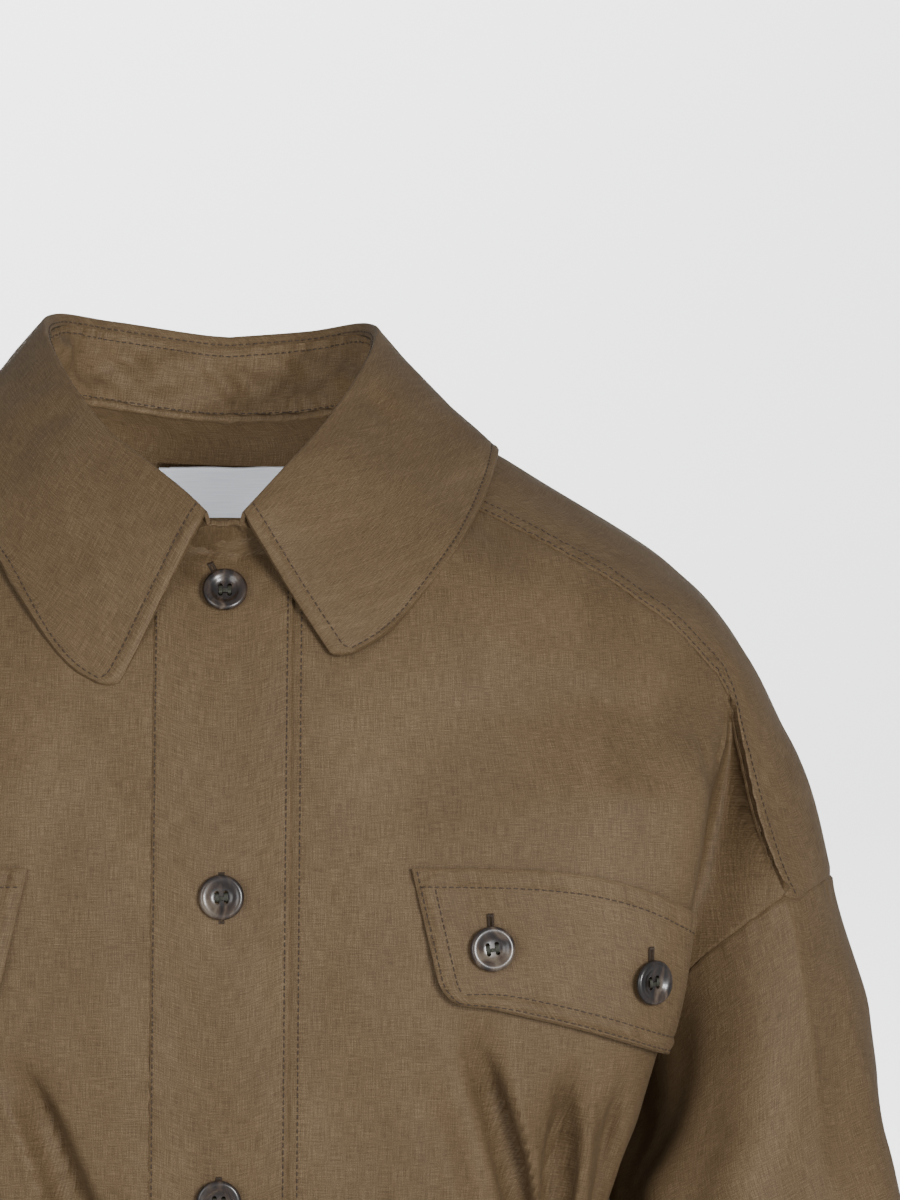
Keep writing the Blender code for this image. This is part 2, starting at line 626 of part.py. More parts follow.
def add_collar():
    c, v = np.meshgrid(np.linspace(0, 1, COLLAR_COLUMNS + 1), np.array([0, 0.07, 0.14, 0.4, 0.7, 0.88, 0.95, 1]))
    fall = joined_halves(collar_fall(c, v))[:, ::-1]
    normals = grid_normals(fall)
    normals[0, :, 2] = 0
    normals[0] /= np.linalg.norm(normals[0], axis=-1, keepdims=True)
    trim = trimmed(fall, normals)
    cloth_piece("collar", trim, trim - COLLAR_WALL * normals)
    yoke_share = np.linspace(0, NECK_SHARE_OF_YOKE, YOKE_NECK_COLUMNS + 1)
    front_share = np.linspace(NECK_SHARE_OF_YOKE, 1, NECK_COLUMNS + 1)
    laps = 1 + STAND_LAP * np.linspace(0, 1, 4)
    c, v = np.meshgrid(np.concatenate([yoke_share, front_share[1:], laps[1:]]), np.linspace(0, 1, 3))
    faces = []
    for over in (False, True):
        outer = collar_stand(c, v, over)
        inner = outer - WALL * stand_outward(c)
        faces.append([mirrored(outer), mirrored(inner)] if over else [outer, inner])
    outer, inner = (np.concatenate([right[:, :-1], left], 1) for left, right in zip(*faces))
    cloth_piece("collar_stand", outer[:, ::-1], inner[:, ::-1])


def add_bands():
    """The buttonhole band on top and the button band under it, with the fronts' own depth."""
    rows = np.linspace(0, 1, BAND_ROWS + 1) ** BAND_ROW_POWER
    for name, first_x, last_x, lift in (
        ("placket", -BAND_HALF_WIDTH, BAND_HALF_WIDTH - 1, PLACKET_LIFT),
        ("button_band", 2 - BAND_HALF_WIDTH, BAND_SEAM_X - SEAM_GAP / 2, -BAND_DEPTH),
    ):
        x, share = np.meshgrid(np.linspace(last_x, first_x, 5), rows)
        drop = NECK_FRONT_DROP + 1 + (WAIST_DROP - NECK_FRONT_DROP - 1) * share
        depth = panel_depth(x, drop, False, 1)
        grid = np.stack([x, -depth - lift, -drop], -1)[:, ::-1]
        grid[-1, :, 2] += SEAM_GAP / 2
        cloth_piece(name, grid, grid - WALL * grid_normals(grid))


def flap_point(u, v, side):
    """Place on a flap, as x, drop: u runs from its inner end to the armpit fold, v from its top seam down."""
    top = FLAP_TOP_DROP + FLAP_SLOPE * u**3
    foot = FLAP_FOOT_DROP + (FLAP_OUTER_FOOT_DROP - FLAP_FOOT_DROP) * u**1.3
    drop = top + (foot - top) * v
    rounding = FLAP_CORNER * (1 - np.sqrt(1 - np.clip((v - 0.82) / 0.18, 0, 1) ** 2))
    start = FLAP_INNER_X[side] + FLAP_SLANT * v + rounding
    end = along(FOLD_EDGE, drop)[0] - 0.4
    share = np.sin(np.pi / 2 * u) ** 0.85
    return start + (end - start) * share, drop


def add_flaps():
    for side, name in ((1, "left"), (-1, "right")):
        u, v = np.meshgrid(np.linspace(0, 1, FLAP_COLUMNS + 1), np.array([0, 0.25, 0.5, 0.75, 0.86, 0.94, 0.98, 1]))
        x, drop = flap_point(u, v, side)
        grid = np.stack([x, -panel_depth(x, drop, False, side), -drop], -1)
        normals = grid_normals(grid)
        under = grid + (SEAM_GAP + FLAP_LIFT * v[..., None] ** 2) * normals
        outer = under + FLAP_WALL * normals
        if side < 0:
            outer, under = mirrored(outer), mirrored(under)
        cloth_piece("flap_" + name, outer, under)
        for number, (share, button_drop) in enumerate(FLAP_BUTTONS):
            top, foot = flap_point(share, 0.0, side)[1], flap_point(share, 1.0, side)[1]
            place = np.array([share]), np.array([(button_drop - top) / (foot - top)])
            centre, normal = surface_at(lambda u, v: flap_face(u, v, side), *place)
            add_button(f"flap_button_{name}_{number + 1}", centre, normal, side * FLAP_BUTTON_TURN)


def flap_face(u, v, side):
    x, drop = flap_point(u, v, side)
    return np.stack([side * x, -panel_depth(x, drop, False, side), -drop], -1)


def surface_at(function, u, v):
    """Point and outward normal of a surface, from differences."""
    step = 0.02
    point = function(u, v)[0]
    across = function(u + step, v)[0] - function(u - step, v)[0]
    down = function(u, v + step)[0] - function(u, v - step)[0]
    normal = np.cross(down, across)
    normal /= np.linalg.norm(normal)
    if normal[1] > 0:
        normal = -normal
    lift = SEAM_GAP + FLAP_LIFT * float(v[0]) ** 2 + FLAP_WALL + BUTTON_GAP
    return point + lift * normal, normal


def button_mesh():
    """A turned button with a raised rim and four holes, lying on z = 0."""
    radius = BUTTON_DIAMETER / 2
    profile = ((0, 2.1), (0.5, 2.1), (0.72, 3.5), (0.9, 3.4), (1, 2.3), (0.8, 0), (0, 0))
    shape = bmesh.new()
    line = [shape.verts.new((share * radius * MM, 0, height * MM)) for share, height in profile]
    edges = [shape.edges.new(pair) for pair in zip(line[:-1], line[1:])]
    bmesh.ops.spin(
        shape, geom=line + edges, cent=(0, 0, 0), axis=(0, 0, 1), angle=2 * math.pi, steps=BUTTON_SIDES,
        use_merge=True,
    )
    bmesh.ops.remove_doubles(shape, verts=shape.verts, dist=1e-5)
    bmesh.ops.recalc_face_normals(shape, faces=shape.faces)
    mesh = bpy.data.meshes.new("button_blank")
    shape.to_mesh(mesh)
    shape.free()
    return mesh


def button_cutter():
    """Four pins through the button's well, hidden in a render."""
    shape = bmesh.new()
    for x in (-1, 1):
        for y in (-1, 1):
            place = Matrix.Translation((x * HOLE_OFFSET * MM, y * HOLE_OFFSET * MM, BUTTON_THICKNESS / 2 * MM))
            bmesh.ops.create_cone(
                shape, cap_ends=True, segments=6, radius1=BUTTON_HOLE / 2 * MM, radius2=BUTTON_HOLE / 2 * MM,
                depth=3 * BUTTON_THICKNESS * MM, matrix=place,
            )
    mesh = bpy.data.meshes.new("button_holes")
    shape.to_mesh(mesh)
    shape.free()
    cutter = bpy.data.objects.new("button_holes", mesh)
    bpy.context.scene.collection.objects.link(cutter)
    cutter.hide_render = True
    cutter.display_type = "WIRE"
    return cutter


def drilled_button():
    """The button's mesh with its holes cut, shared by every button."""
    cutter = button_cutter()
    blank = bpy.data.objects.new("blank", button_mesh())
    bpy.context.scene.collection.objects.link(blank)
    cut = blank.modifiers.new("holes", "BOOLEAN")
    cut.operation = "DIFFERENCE"
    cut.object = cutter
    graph = bpy.context.evaluated_depsgraph_get()
    mesh = bpy.data.meshes.new_from_object(blank.evaluated_get(graph))
    mesh.name = "button"
    mesh.materials.clear()
    mesh.materials.append(material("horn", HORN, 0.3))
    mesh.shade_smooth()
    mesh.set_sharp_from_angle(angle=math.radians(40))
    bpy.data.objects.remove(blank)
    bpy.data.objects.remove(cutter)
    return mesh


def add_button(name, centre, normal, turn=0.0):
    mesh = bpy.data.meshes.get("button") or drilled_button()
    button = bpy.data.objects.new(name, mesh)
    bpy.context.scene.collection.objects.link(button)
    button.parent = bpy.data.objects["jacket"]
    button.location = Vector(centre) * MM
    facing = Vector(normal).to_track_quat("Z", "Y")
    button.rotation_euler = (facing.to_matrix() @ Matrix.Rotation(turn, 3, "Z")).to_euler()


def add_front_buttons():
    for number in range(3):
        drop = TOP_BUTTON_DROP + number * BUTTON_SPACING
        depths = panel_depth(np.zeros(3), drop + np.array([-3.0, 0.0, 3.0]), False, 1)
        slope = (depths[2] - depths[0]) / 6
        normal = np.array([0, -1, slope]) / math.hypot(1, slope)
        centre = np.array([0, -depths[1], -drop]) + (PLACKET_LIFT + BUTTON_GAP) * normal
        add_button(f"front_button_{number + 1}", centre, normal)
    drop = (WAIST_DROP + HEM_DROP) / 2
    depth = panel_depth(BAND_SEAM_X, np.array(WAIST_DROP), False, 1) + WAISTBAND_LAP + BUTTON_GAP
    add_button("waist_button", (0, -depth, -drop), (0, -1, 0))


def add_waistband(grids):
    """A band under the fronts and back. Its left end goes under its right end at the front."""
    ring = np.concatenate([grids["front_left"][0][-1], grids["back"][0][-1][1:], grids["front_right"][0][-1][1:]])
    tab_x = np.linspace(2 - BAND_HALF_WIDTH, BAND_SEAM_X, 5)[:-1]
    left = np.stack([tab_x, np.full(4, ring[0, 1]), ring[0, 2] + 0 * tab_x], 1)
    right = np.stack([np.linspace(-BAND_SEAM_X, BAND_HALF_WIDTH - 1, 5)[1:], left[:, 1], left[:, 2]], 1)
    lap = np.zeros(len(ring) + 8)
    lap[:4] = -WAISTBAND_LAP
    lap[-4:] = WAISTBAND_LAP
    lap[4], lap[-5] = -WAISTBAND_LAP, WAISTBAND_LAP
    path = np.concatenate([left, ring, right])
    rows = np.stack([path - (0, 0, SEAM_GAP / 2), path * (0.998, 0.998, HEM_DROP / WAIST_DROP)])
    normals = grid_normals(rows)
    outward = np.sign((normals * rows * (1, 1, 0)).sum())
    normals *= outward
    rows = rows + lap[None, :, None] * normals
    if outward < 0:
        rows, normals = rows[:, ::-1], normals[:, ::-1]
    cloth_piece("waistband", rows, rows - BAND_WALL * normals)


def add_cuffs(grids):
    for side, name in ((1, "sleeve_left"), (-1, "sleeve_right")):
        end = grids["sleeve_left"][0][-1]
        rows = []
        for share in np.linspace(0, 1, 3):
            drop = WRIST_DROP + SEAM_GAP / 2 + (CUFF_DROP - WRIST_DROP) * share
            start_x, start_y, start_width, _ = along(SLEEVE, np.array(WRIST_DROP))
            x, y, width, _ = along(SLEEVE, np.array(drop))
            scale = width / start_width
            ring = (end[:, :2] - (start_x, start_y)) * scale + (x, y)
            rows.append(np.column_stack([ring, np.full(len(ring), -drop)]))
        grid = np.stack(rows)
        grid = mirrored(grid) if side < 0 else grid
        cloth_piece(name.replace("sleeve", "cuff"), grid, grid - BAND_WALL * grid_normals(grid, True), True)


def add_label():
    """The woven neck label, sewn inside the back of the yoke, with nothing on it."""
    width, height, thickness = LABEL_SIZE
    x, drop = np.meshgrid(np.linspace(-width / 2, width / 2, 7), LABEL_DROP + np.linspace(0, height, 4))
    outer = np.stack([x, shell_depth(x, drop, 1), -drop], -1)
    normals = grid_normals(outer)
    inward = -normals * np.sign(normals[0, 0, 1])
    face = outer + inward * (WALL + LABEL_GAP)
    cloth_piece("label", face, face + inward * thickness, finish=("satin", SATIN, 0.4))


def build():
    clear_scene()
    grids = body_grids()
    add_body(grids)
    add_collar()
    add_bands()
    add_flaps()
    add_front_buttons()
    add_waistband(grids)
    add_cuffs(grids)
    add_label()


build()
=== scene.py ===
import math

import bpy
import numpy as np
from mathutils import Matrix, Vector


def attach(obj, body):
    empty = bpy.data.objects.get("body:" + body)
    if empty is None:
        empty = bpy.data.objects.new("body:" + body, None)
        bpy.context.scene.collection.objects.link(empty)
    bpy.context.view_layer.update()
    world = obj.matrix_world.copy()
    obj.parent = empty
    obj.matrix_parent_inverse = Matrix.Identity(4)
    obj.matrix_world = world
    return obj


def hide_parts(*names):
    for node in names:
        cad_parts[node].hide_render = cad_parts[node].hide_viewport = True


# Shirt jacket in khaki cotton and linen. Lengths in the tables are millimetres; "drop" is the distance below
# the high point of the shoulder, x runs to the wearer's left and the front faces -Y.

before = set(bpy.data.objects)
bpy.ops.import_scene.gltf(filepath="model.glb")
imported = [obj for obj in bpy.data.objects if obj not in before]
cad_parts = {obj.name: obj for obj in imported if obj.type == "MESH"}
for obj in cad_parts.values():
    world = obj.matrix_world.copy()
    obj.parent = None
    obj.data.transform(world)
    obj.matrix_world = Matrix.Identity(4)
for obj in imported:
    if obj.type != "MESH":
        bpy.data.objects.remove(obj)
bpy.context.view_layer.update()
print("frame loaded")

# body form
body = {
    "cloth": 0.9,  # thickness of the cloth
    "grain": 2.6,  # distance between the points of the surfaces
    "seamGrain": 0.95,  # the same beside the seams
    "roundness": 2.3,
    "foldRoundness": 3.0,
    "bandSeam": 31.0,
    "waist": 425.0,
    "hem": 470.0,
    "wrist": 598.0,
    "cuffEnd": 656.0,
    "neckFront": 47.5,
    "shoulderBulge": 20.0,
    "neckOfYoke": 0.66,
    "foldShare": 0.78,
    "underarm": 0.45,
    # top of the shoulder seen from the front: x, drop
    "shoulderLine": (
        (0, -27), (40, -24), (60, -19), (74, -12), (90, -4), (112, 6), (142, 23), (169, 40), (189, 54),
        (209, 73), (223, 97), (232.5, 119), (240, 133), (246, 148), (251, 166), (255, 183), (257.5, 192),
        (261, 210), (266, 233), (269, 250), (300, 420),
    ),
    # depth before and behind the middle plane: drop, front, back
    "depths": (
        (-27, 0, 0), (-20, 4, 44), (-10, 10, 62), (8, 40, 79), (30, 66, 90), (50, 86, 97), (80, 101, 103),
        (110, 109, 107), (150, 115, 110), (200, 118, 108), (250, 117, 102), (300, 112, 96), (350, 106, 91),
        (425, 99, 87), (480, 97, 86),
    ),
    # edge of the armpit fold: drop, x, depth in front, depth behind
    "foldEdge": (
        (95, 214, 44, 40), (106, 210.5, 50, 42), (130, 206, 66, 47), (160, 202, 79, 57), (200, 195, 86, 64),
        (235, 188, 84, 62), (260, 179.5, 77, 57), (290, 170, 65, 50), (317, 163, 55, 44), (360, 152, 43, 38),
        (425, 146, 34, 32), (480, 145, 32, 31),
    ),
    # how the cloth tucks in behind that edge: t, inset, setback in front, setback behind
    "tuck": (
        (0.0, 0, 10, 6), (0.1, 3, 20, 11), (0.2, 6, 28, 18), (0.35, 7.5, 33, 22), (0.45, 7, 34, 24),
        (0.6, 4, 28, 18), (0.8, 0.5, 22, 14), (1.0, -0.8, 18, 12),
    ),
    # seams: share along, x, drop, side
    "neckSeam": (
        (0.0, 0, -10, 1), (0.2, 34, -11.5, 1), (0.38, 60, -15, 1), (0.5, 74, -12, 0), (0.58, 77, -2, -1),
        (0.66, 75, 12, -1), (0.78, 64, 27, -1), (0.9, 46, 40, -1), (1.0, 31, 47.5, -1),
    ),
    "frontYoke": (
        (0.0, 75, 12), (0.13, 104, 28), (0.25, 127, 39.5), (0.36, 148, 51), (0.44, 162, 59),
        (0.51, 175, 68.5), (0.6, 189, 79), (0.68, 200, 91), (0.78, 210.5, 106), (0.86, 216, 130),
        (0.93, 223, 160), (1.0, 235, 191),
    ),
    "backYoke": (
        (0.0, 0, 96), (0.2, 58, 97), (0.4, 112, 102), (0.55, 152, 112), (0.68, 182, 125), (0.78, 201, 141),
        (0.86, 211, 158), (0.93, 221, 174), (1.0, 235, 191),
    ),
    # armhole below the yoke: share, x, y in front, y behind, drop
    "armhole": (
        (0.0, 235, -58, 55, 191), (0.25, 214, -56, 54, 206), (0.5, 194, -45, 44, 223),
        (0.75, 180, -21, 26, 246), (1.0, 172, 6, 6, 262),
    ),
    # side seam: drop, x, y
    "sideSeam": (
        (262, 172, 6), (275, 165, 6), (290, 160.5, 6), (317, 156, 6), (360, 150, 6), (425, 146.5, 6),
        (480, 145, 6),
    ),
    # sleeve rings: drop, centre x, centre y, half width, half depth
    "sleeve": (
        (180, 203, 0, 52, 60), (262, 222.5, 0, 51, 61), (290, 224.5, 0, 54, 61), (317, 222.6, -1, 62.6, 61),
        (345, 230.5, -3, 60.5, 60), (400, 246, -6, 53.5, 56), (480, 264, -14, 48, 52),
        (550, 278, -24, 44, 48), (598, 287, -31, 42, 45), (660, 299, -41, 38, 41),
    ),
    # folds drawn in towards the waist: side, x and drop at top, x and drop at foot, width, depth
    "folds": (
        (1, 97, 228, 127, 322, 8, -5.5), (1, 110, 255, 133, 330, 6, 3.5), (1, 143, 258, 138, 345, 8, -6.5),
        (1, 157, 270, 145, 340, 6, 3.5), (1, 166, 262, 150, 335, 6, -4.5), (1, 70, 330, 76, 440, 8, -4),
        (1, 104, 335, 106, 440, 8, -4), (1, 50, 350, 54, 440, 7, -3), (-1, 90, 255, 58, 330, 9, -5),
        (-1, 118, 262, 92, 345, 8, -5), (-1, 142, 258, 124, 350, 8, -5.5), (-1, 158, 270, 142, 345, 6, 3.5),
        (-1, 72, 335, 70, 440, 8, -4), (-1, 108, 340, 104, 440, 8, -4), (-1, 46, 350, 48, 440, 7, -3),
    ),
}


def smooth(x):  # 0 below 0, 1 above 1, 3x^2 - 2x^3 between
    x = np.clip(x, 0, 1)
    return x * x * (3 - 2 * x)


def along(table, at):  # columns of a table read on a smooth cubic curve through its rows
    table = np.array(table, float)
    at = np.asarray(at, float)
    knots, values = table[:, 0], table[:, 1:]
    slopes = np.gradient(values, knots, axis=0)
    i = np.clip(np.searchsorted(knots, at, side="right") - 1, 0, len(knots) - 2)
    step = (knots[i + 1] - knots[i])[..., None]
    f = np.clip((at[..., None] - knots[i][..., None]) / step, 0, 1)
    return np.moveaxis(cubic(values[i], slopes[i], values[i + 1], slopes[i + 1], f, step), -1, 0)


def cubic(start, startSlope, end, endSlope, f, step):  # cubic from start to end with those slopes
    curve = start + (end - start) * (f * f * (3 - 2 * f))
    return curve + step * f * (1 - f) * (startSlope * (1 - f) - endSlope * f)


lineX = np.linspace(0, body["shoulderLine"][-1][0], 1201)
lineDrop = np.maximum.accumulate(along(body["shoulderLine"], lineX)[0] + lineX * 1e-6)


def shoulderDrop(x):
    return np.interp(np.abs(x), lineX, lineDrop)


def shellDepth(x, drop, side):  # depth of a rounded slice: middle depth times (1 - |x / half width|^n)^(1/n)
    front, back = along(body["depths"], drop)
    width = np.interp(drop, lineDrop, lineX)
    inside = np.clip(1 - (np.abs(x) / width) ** body["roundness"], 0, 1)
    return np.where(side > 0, back, front) * inside ** (1 / body["roundness"])


def shellPoint(x, reach):  # drop is the shoulder line's plus reach squared; reach's sign is the side
    drop = shoulderDrop(x) + reach * reach
    return np.stack([x, np.sign(reach) * shellDepth(x, drop, np.sign(reach)), -drop], -1)


def seamReach(table, share, side=None):  # x and reach along a seam table
    rows = np.array(table, float)
    sides = rows[:, 3] if side is None else side
    reaches = sides * np.sqrt(np.clip(rows[:, 2] - shoulderDrop(rows[:, 1]), 0, None))
    return along(np.stack([rows[:, 0], rows[:, 1], reaches], 1), share)


def foldDepth(side, x, drop):  # Gaussian troughs and ridges across slanting lines, faded at both ends
    total = np.zeros(np.broadcast(x, drop).shape)
    for where, xTop, dropTop, xFoot, dropFoot, width, depth in body["folds"]:
        if where == side:
            f = (drop - dropTop) / (dropFoot - dropTop)
            across = (x - xTop - (xFoot - xTop) * np.clip(f, 0, 1.2)) / width
            fade = smooth(f / 0.45) * (1 - smooth((drop - body["waist"] + 50) / 50))
            total += depth * np.exp(-across * across) * fade
    return total


frontFoldDrop = float(along(body["frontYoke"], np.array([body["foldShare"]]))[1][0])
backFoldDrop = float(along(body["backYoke"], np.array([body["foldShare"]]))[1][0])


def panelDepth(x, drop, behind, side):  # the shoulder shell above, the body out to the armpit fold below
    front, back = along(body["depths"], drop)
    edge, edgeFront, edgeBack = along(body["foldEdge"], np.maximum(drop, body["foldEdge"][0][0]))
    middle, rim = (back, edgeBack) if behind else (front, edgeFront)
    n = body["foldRoundness"]
    form = rim + (middle - rim) * np.clip(1 - (np.abs(x) / edge) ** n, 0, 1) ** (1 / n)
    share = smooth((drop - (backFoldDrop if behind else frontFoldDrop)) / 50)
    depth = (1 - share) * shellDepth(x, drop, 1 if behind else -1) + share * form
    return depth if behind else depth + foldDepth(side, np.abs(x), drop)


neckS, frontFoldS, yokeNeckU, backFoldS = 4 / 17, 12 / 17, 6 / 19, 14 / 19


def topSeam(s, behind):  # x and reach along the top of a panel: neck seam, then yoke seam
    if behind:
        return seamReach(body["backYoke"], np.interp(s, [0, backFoldS, 1], [0, body["foldShare"], 1]), 1)
    neck = seamReach(body["neckSeam"], 1 - (1 - body["neckOfYoke"]) * np.clip(s / neckS, 0, 1))
    yoke = seamReach(body["frontYoke"], np.interp(s, [neckS, frontFoldS, 1], [0, body["foldShare"], 1]), -1)
    return np.where(s < neckS, neck, yoke)


def hermitePair(start, leave, middle, end, share, knot=0.42):  # from start through middle to end
    share = share[..., None]
    arrive = (end - middle) / (1 - knot)
    first = cubic(start, leave, middle, end - start, np.clip(share / knot, 0, 1), knot)
    second = cubic(middle, end - start, end, arrive, np.clip((share - knot) / (1 - knot), 0, 1), 1 - knot)
    return np.where(share < knot, first, second)


def panelPoint(s, t, behind, side):
    # s runs from the band or the centre of the back out to the side, t from the yoke down to the waist.
    # Up to the armpit fold it is the panel's own depth; behind the fold a curve tucks back to the seam.
    foldS = backFoldS if behind else frontFoldS
    firstX = 0.0 if behind else body["bandSeam"]
    start = backFoldDrop if behind else frontFoldDrop
    sign = 1 if behind else -1
    topX, topReach = topSeam(s, behind)
    topDrop = shoulderDrop(topX) + topReach * topReach
    foldTopX = topSeam(np.array([foldS]), behind)[0][0]
    edgeDrop = start + (body["waist"] - start) * t
    edgeX = along(body["foldEdge"], edgeDrop)[0]
    edgeX = edgeX + (foldTopX - edgeX) * (1 - smooth(t / 0.15))
    seamShare = (topX - firstX) / (foldTopX - firstX)
    ringShare = np.sin(np.pi / 2 * np.clip(s / foldS, 0, 1))
    settled = smooth(t / 0.4)
    x = firstX + (edgeX - firstX) * ((1 - settled) * seamShare + settled * ringShare)
    drop = topDrop + (body["waist"] - topDrop) * t
    inner = np.stack([x, sign * panelDepth(x, drop, behind, side), -drop], -1)
    share = np.clip((s - foldS) / (1 - foldS), 0, 1)
    edge = np.stack([edgeX, sign * panelDepth(edgeX, edgeDrop, behind, side), -edgeDrop], -1)
    under = body["underarm"]
    arm = along(body["armhole"], np.clip(t / under, 0, 1))
    low = body["armhole"][-1][4]
    sideDrop = low + (body["waist"] - low) * (t - under) / (1 - under)
    hip = along(body["sideSeam"], np.maximum(sideDrop, body["sideSeam"][0][0]))
    seam = np.where(
        (t < under)[..., None],
        np.stack([arm[0], arm[2 if behind else 1], -arm[3]], -1),
        np.stack([hip[0], hip[1], -sideDrop], -1),
    )
    inset, setbackFront, setbackBack = along(body["tuck"], t)
    setback = setbackBack if behind else setbackFront
    level = (edge[..., 2] + seam[..., 2]) / 2
    tuck = np.stack([edge[..., 0] - inset, edge[..., 1] - sign * setback, level], -1)
    leave = np.stack([0 * edgeX, -sign * 1.6 * setback, 0 * edgeX], -1)
    outer = hermitePair(edge, leave, tuck, seam, share)
    blend = smooth(t / 0.12)[..., None]
    outer = shellPoint(topX, topReach) * (1 - blend) + outer * blend
    return np.where((s <= foldS)[..., None], inner, outer)


def yokePoint(u, v):  # u from the centre of the back to the armhole, v from the front seam to the back one
    neck = seamReach(body["neckSeam"], body["neckOfYoke"] * np.clip(u / yokeNeckU, 0, 1))
    shares = [0, body["foldShare"], 1]
    seam = seamReach(body["frontYoke"], np.interp(u, [yokeNeckU, backFoldS, 1], shares), -1)
    front = np.where(u < yokeNeckU, neck, seam)
    back = seamReach(body["backYoke"], np.interp(u, [0, backFoldS, 1], shares), 1)
    bulge = body["shoulderBulge"] * u**6 * (4 * v * (1 - v)) ** 0.65
    return shellPoint(front[0] * (1 - v) + back[0] * v + bulge, front[1] * (1 - v) + back[1] * v)


# surfaces and meshes
def mirrorAcross(function, u, *rest):  # the half surface at |u|, with x turned over where u is negative
    point = function(np.abs(u), *rest)
    return point * np.stack([np.where(u < 0, -1.0, 1.0), np.ones(u.shape), np.ones(u.shape)], -1)


def spaced(length, low=True, high=True, margin=9.0):
    # 0 to 1 in steps of the grain, and of the finer seam grain within a margin of the ends
    fine, coarse = body["seamGrain"], body["grain"]
    place = np.linspace(0, length, 4001)
    near = np.full(place.shape, 1e9)
    if low:
        near = np.minimum(near, place)
    if high:
        near = np.minimum(near, length - place)
    step = fine + (coarse - fine) * smooth((near - margin) / margin)
    count = np.concatenate([[0], np.cumsum(np.diff(place) / ((step[1:] + step[:-1]) / 2))])
    return np.interp(np.linspace(0, count[-1], int(count[-1]) + 2), count, place) / length


def gridNormals(grid, wrap=False):  # unit cross product of the central differences down and across
    down = np.gradient(grid, axis=0)
    across = (np.roll(grid, -1, 1) - np.roll(grid, 1, 1)) / 2 if wrap else np.gradient(grid, axis=1)
    normals = np.cross(down, across)
    return normals / np.maximum(np.linalg.norm(normals, axis=-1, keepdims=True), 1e-12)


def arcs(grid, axis):  # running length along rows (axis 1) or columns (axis 0)
    steps = np.linalg.norm(np.diff(grid, axis=axis), axis=-1)
    pad = [(0, 0), (0, 0)]
    pad[axis] = (1, 0)
    return np.cumsum(np.pad(steps, pad), axis=axis)


def waves(points, length, seed, count=9):  # sum of sine waves of about that length in seeded directions
    rng = np.random.default_rng(seed)
    total = np.zeros(points.shape[:-1])
    for _ in range(count):
        turn = rng.normal(size=points.shape[-1])
        turn *= 2 * np.pi / (length * rng.uniform(0.7, 1.5) * np.linalg.norm(turn))
        total += np.sin(points @ turn + rng.uniform(0, 2 * np.pi))
    return total / math.sqrt(count / 2)


def ripple(run, length, seed):  # waves along one measure
    return waves(run[..., None], length, seed)


def groove(distance, at, width, depth):  # Gaussian trough along a line at that distance from an edge
    return -depth * np.exp(-(((distance - at) / width) ** 2))


def nearest(edges, *names):  # distance to the nearest of those edges
    return np.minimum.reduce([edges[name] for name in names])


def turnedEdge(distance, radius, drop=None):  # a folded edge falls away on a quarter circle
    inside = np.clip(1 - distance / radius, 0, 1)
    return -(radius if drop is None else drop) * (1 - np.sqrt(1 - inside**2))


def pucker(distance, run, seed, reach=9.0, depth=0.3, length=8.0):
    # small waves across a sewn edge: noise along the seam, strongest at the stitches and gone past its reach
    fade = np.exp(-((distance / reach) ** 2))
    small = 0.5 * ripple(run, length * 0.45, seed + 1)
    return depth * fade * (ripple(run + 0.25 * distance, length, seed) + small)


def gridFaces(rows, columns, wrap):  # quads of a grid, as four point numbers each
    i = np.arange(rows - 1)[:, None]
    j = np.arange(columns if wrap else columns - 1)[None, :]
    k = (j + 1) % columns
    quads = np.stack([i * columns + j, (i + 1) * columns + j, (i + 1) * columns + k, i * columns + k], -1)
    return quads.reshape(-1, 4)


def meshFrom(name, points, faces, uv=None, sharp=40):  # points in millimetres, faces of one size or several
    mesh = bpy.data.meshes.new(name)
    mesh.from_pydata((points / 1000).tolist(), [], [face for group in faces for face in group.tolist()])
    if uv is not None:
        layer = mesh.uv_layers.new(name="cloth")
        corners = np.empty(len(mesh.loops), np.int32)
        mesh.loops.foreach_get("vertex_index", corners)
        layer.data.foreach_set("uv", (uv[corners] / 1000).astype(np.float32).ravel())
    mesh.shade_smooth()
    if sharp:
        mesh.set_sharp_from_angle(angle=math.radians(sharp))
    made = bpy.data.objects.new(name, mesh)
    bpy.context.scene.collection.objects.link(made)
    return made


def outwards(points, faces):  # turns the faces round if the closed shape has a negative volume
    volume = 0.0
    for group in faces:
        first = points[group[:, 0]]
        for k in range(1, group.shape[1] - 1):
            volume += (first * np.cross(points[group[:, k]], points[group[:, k + 1]])).sum()
    return faces if volume > 0 else [group[:, ::-1] for group in faces]


def finishPiece(piece, node, look):
    piece.data.materials.append(look)
    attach(piece, "root")
    if node:
        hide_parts(node)
    return piece


sheets = []


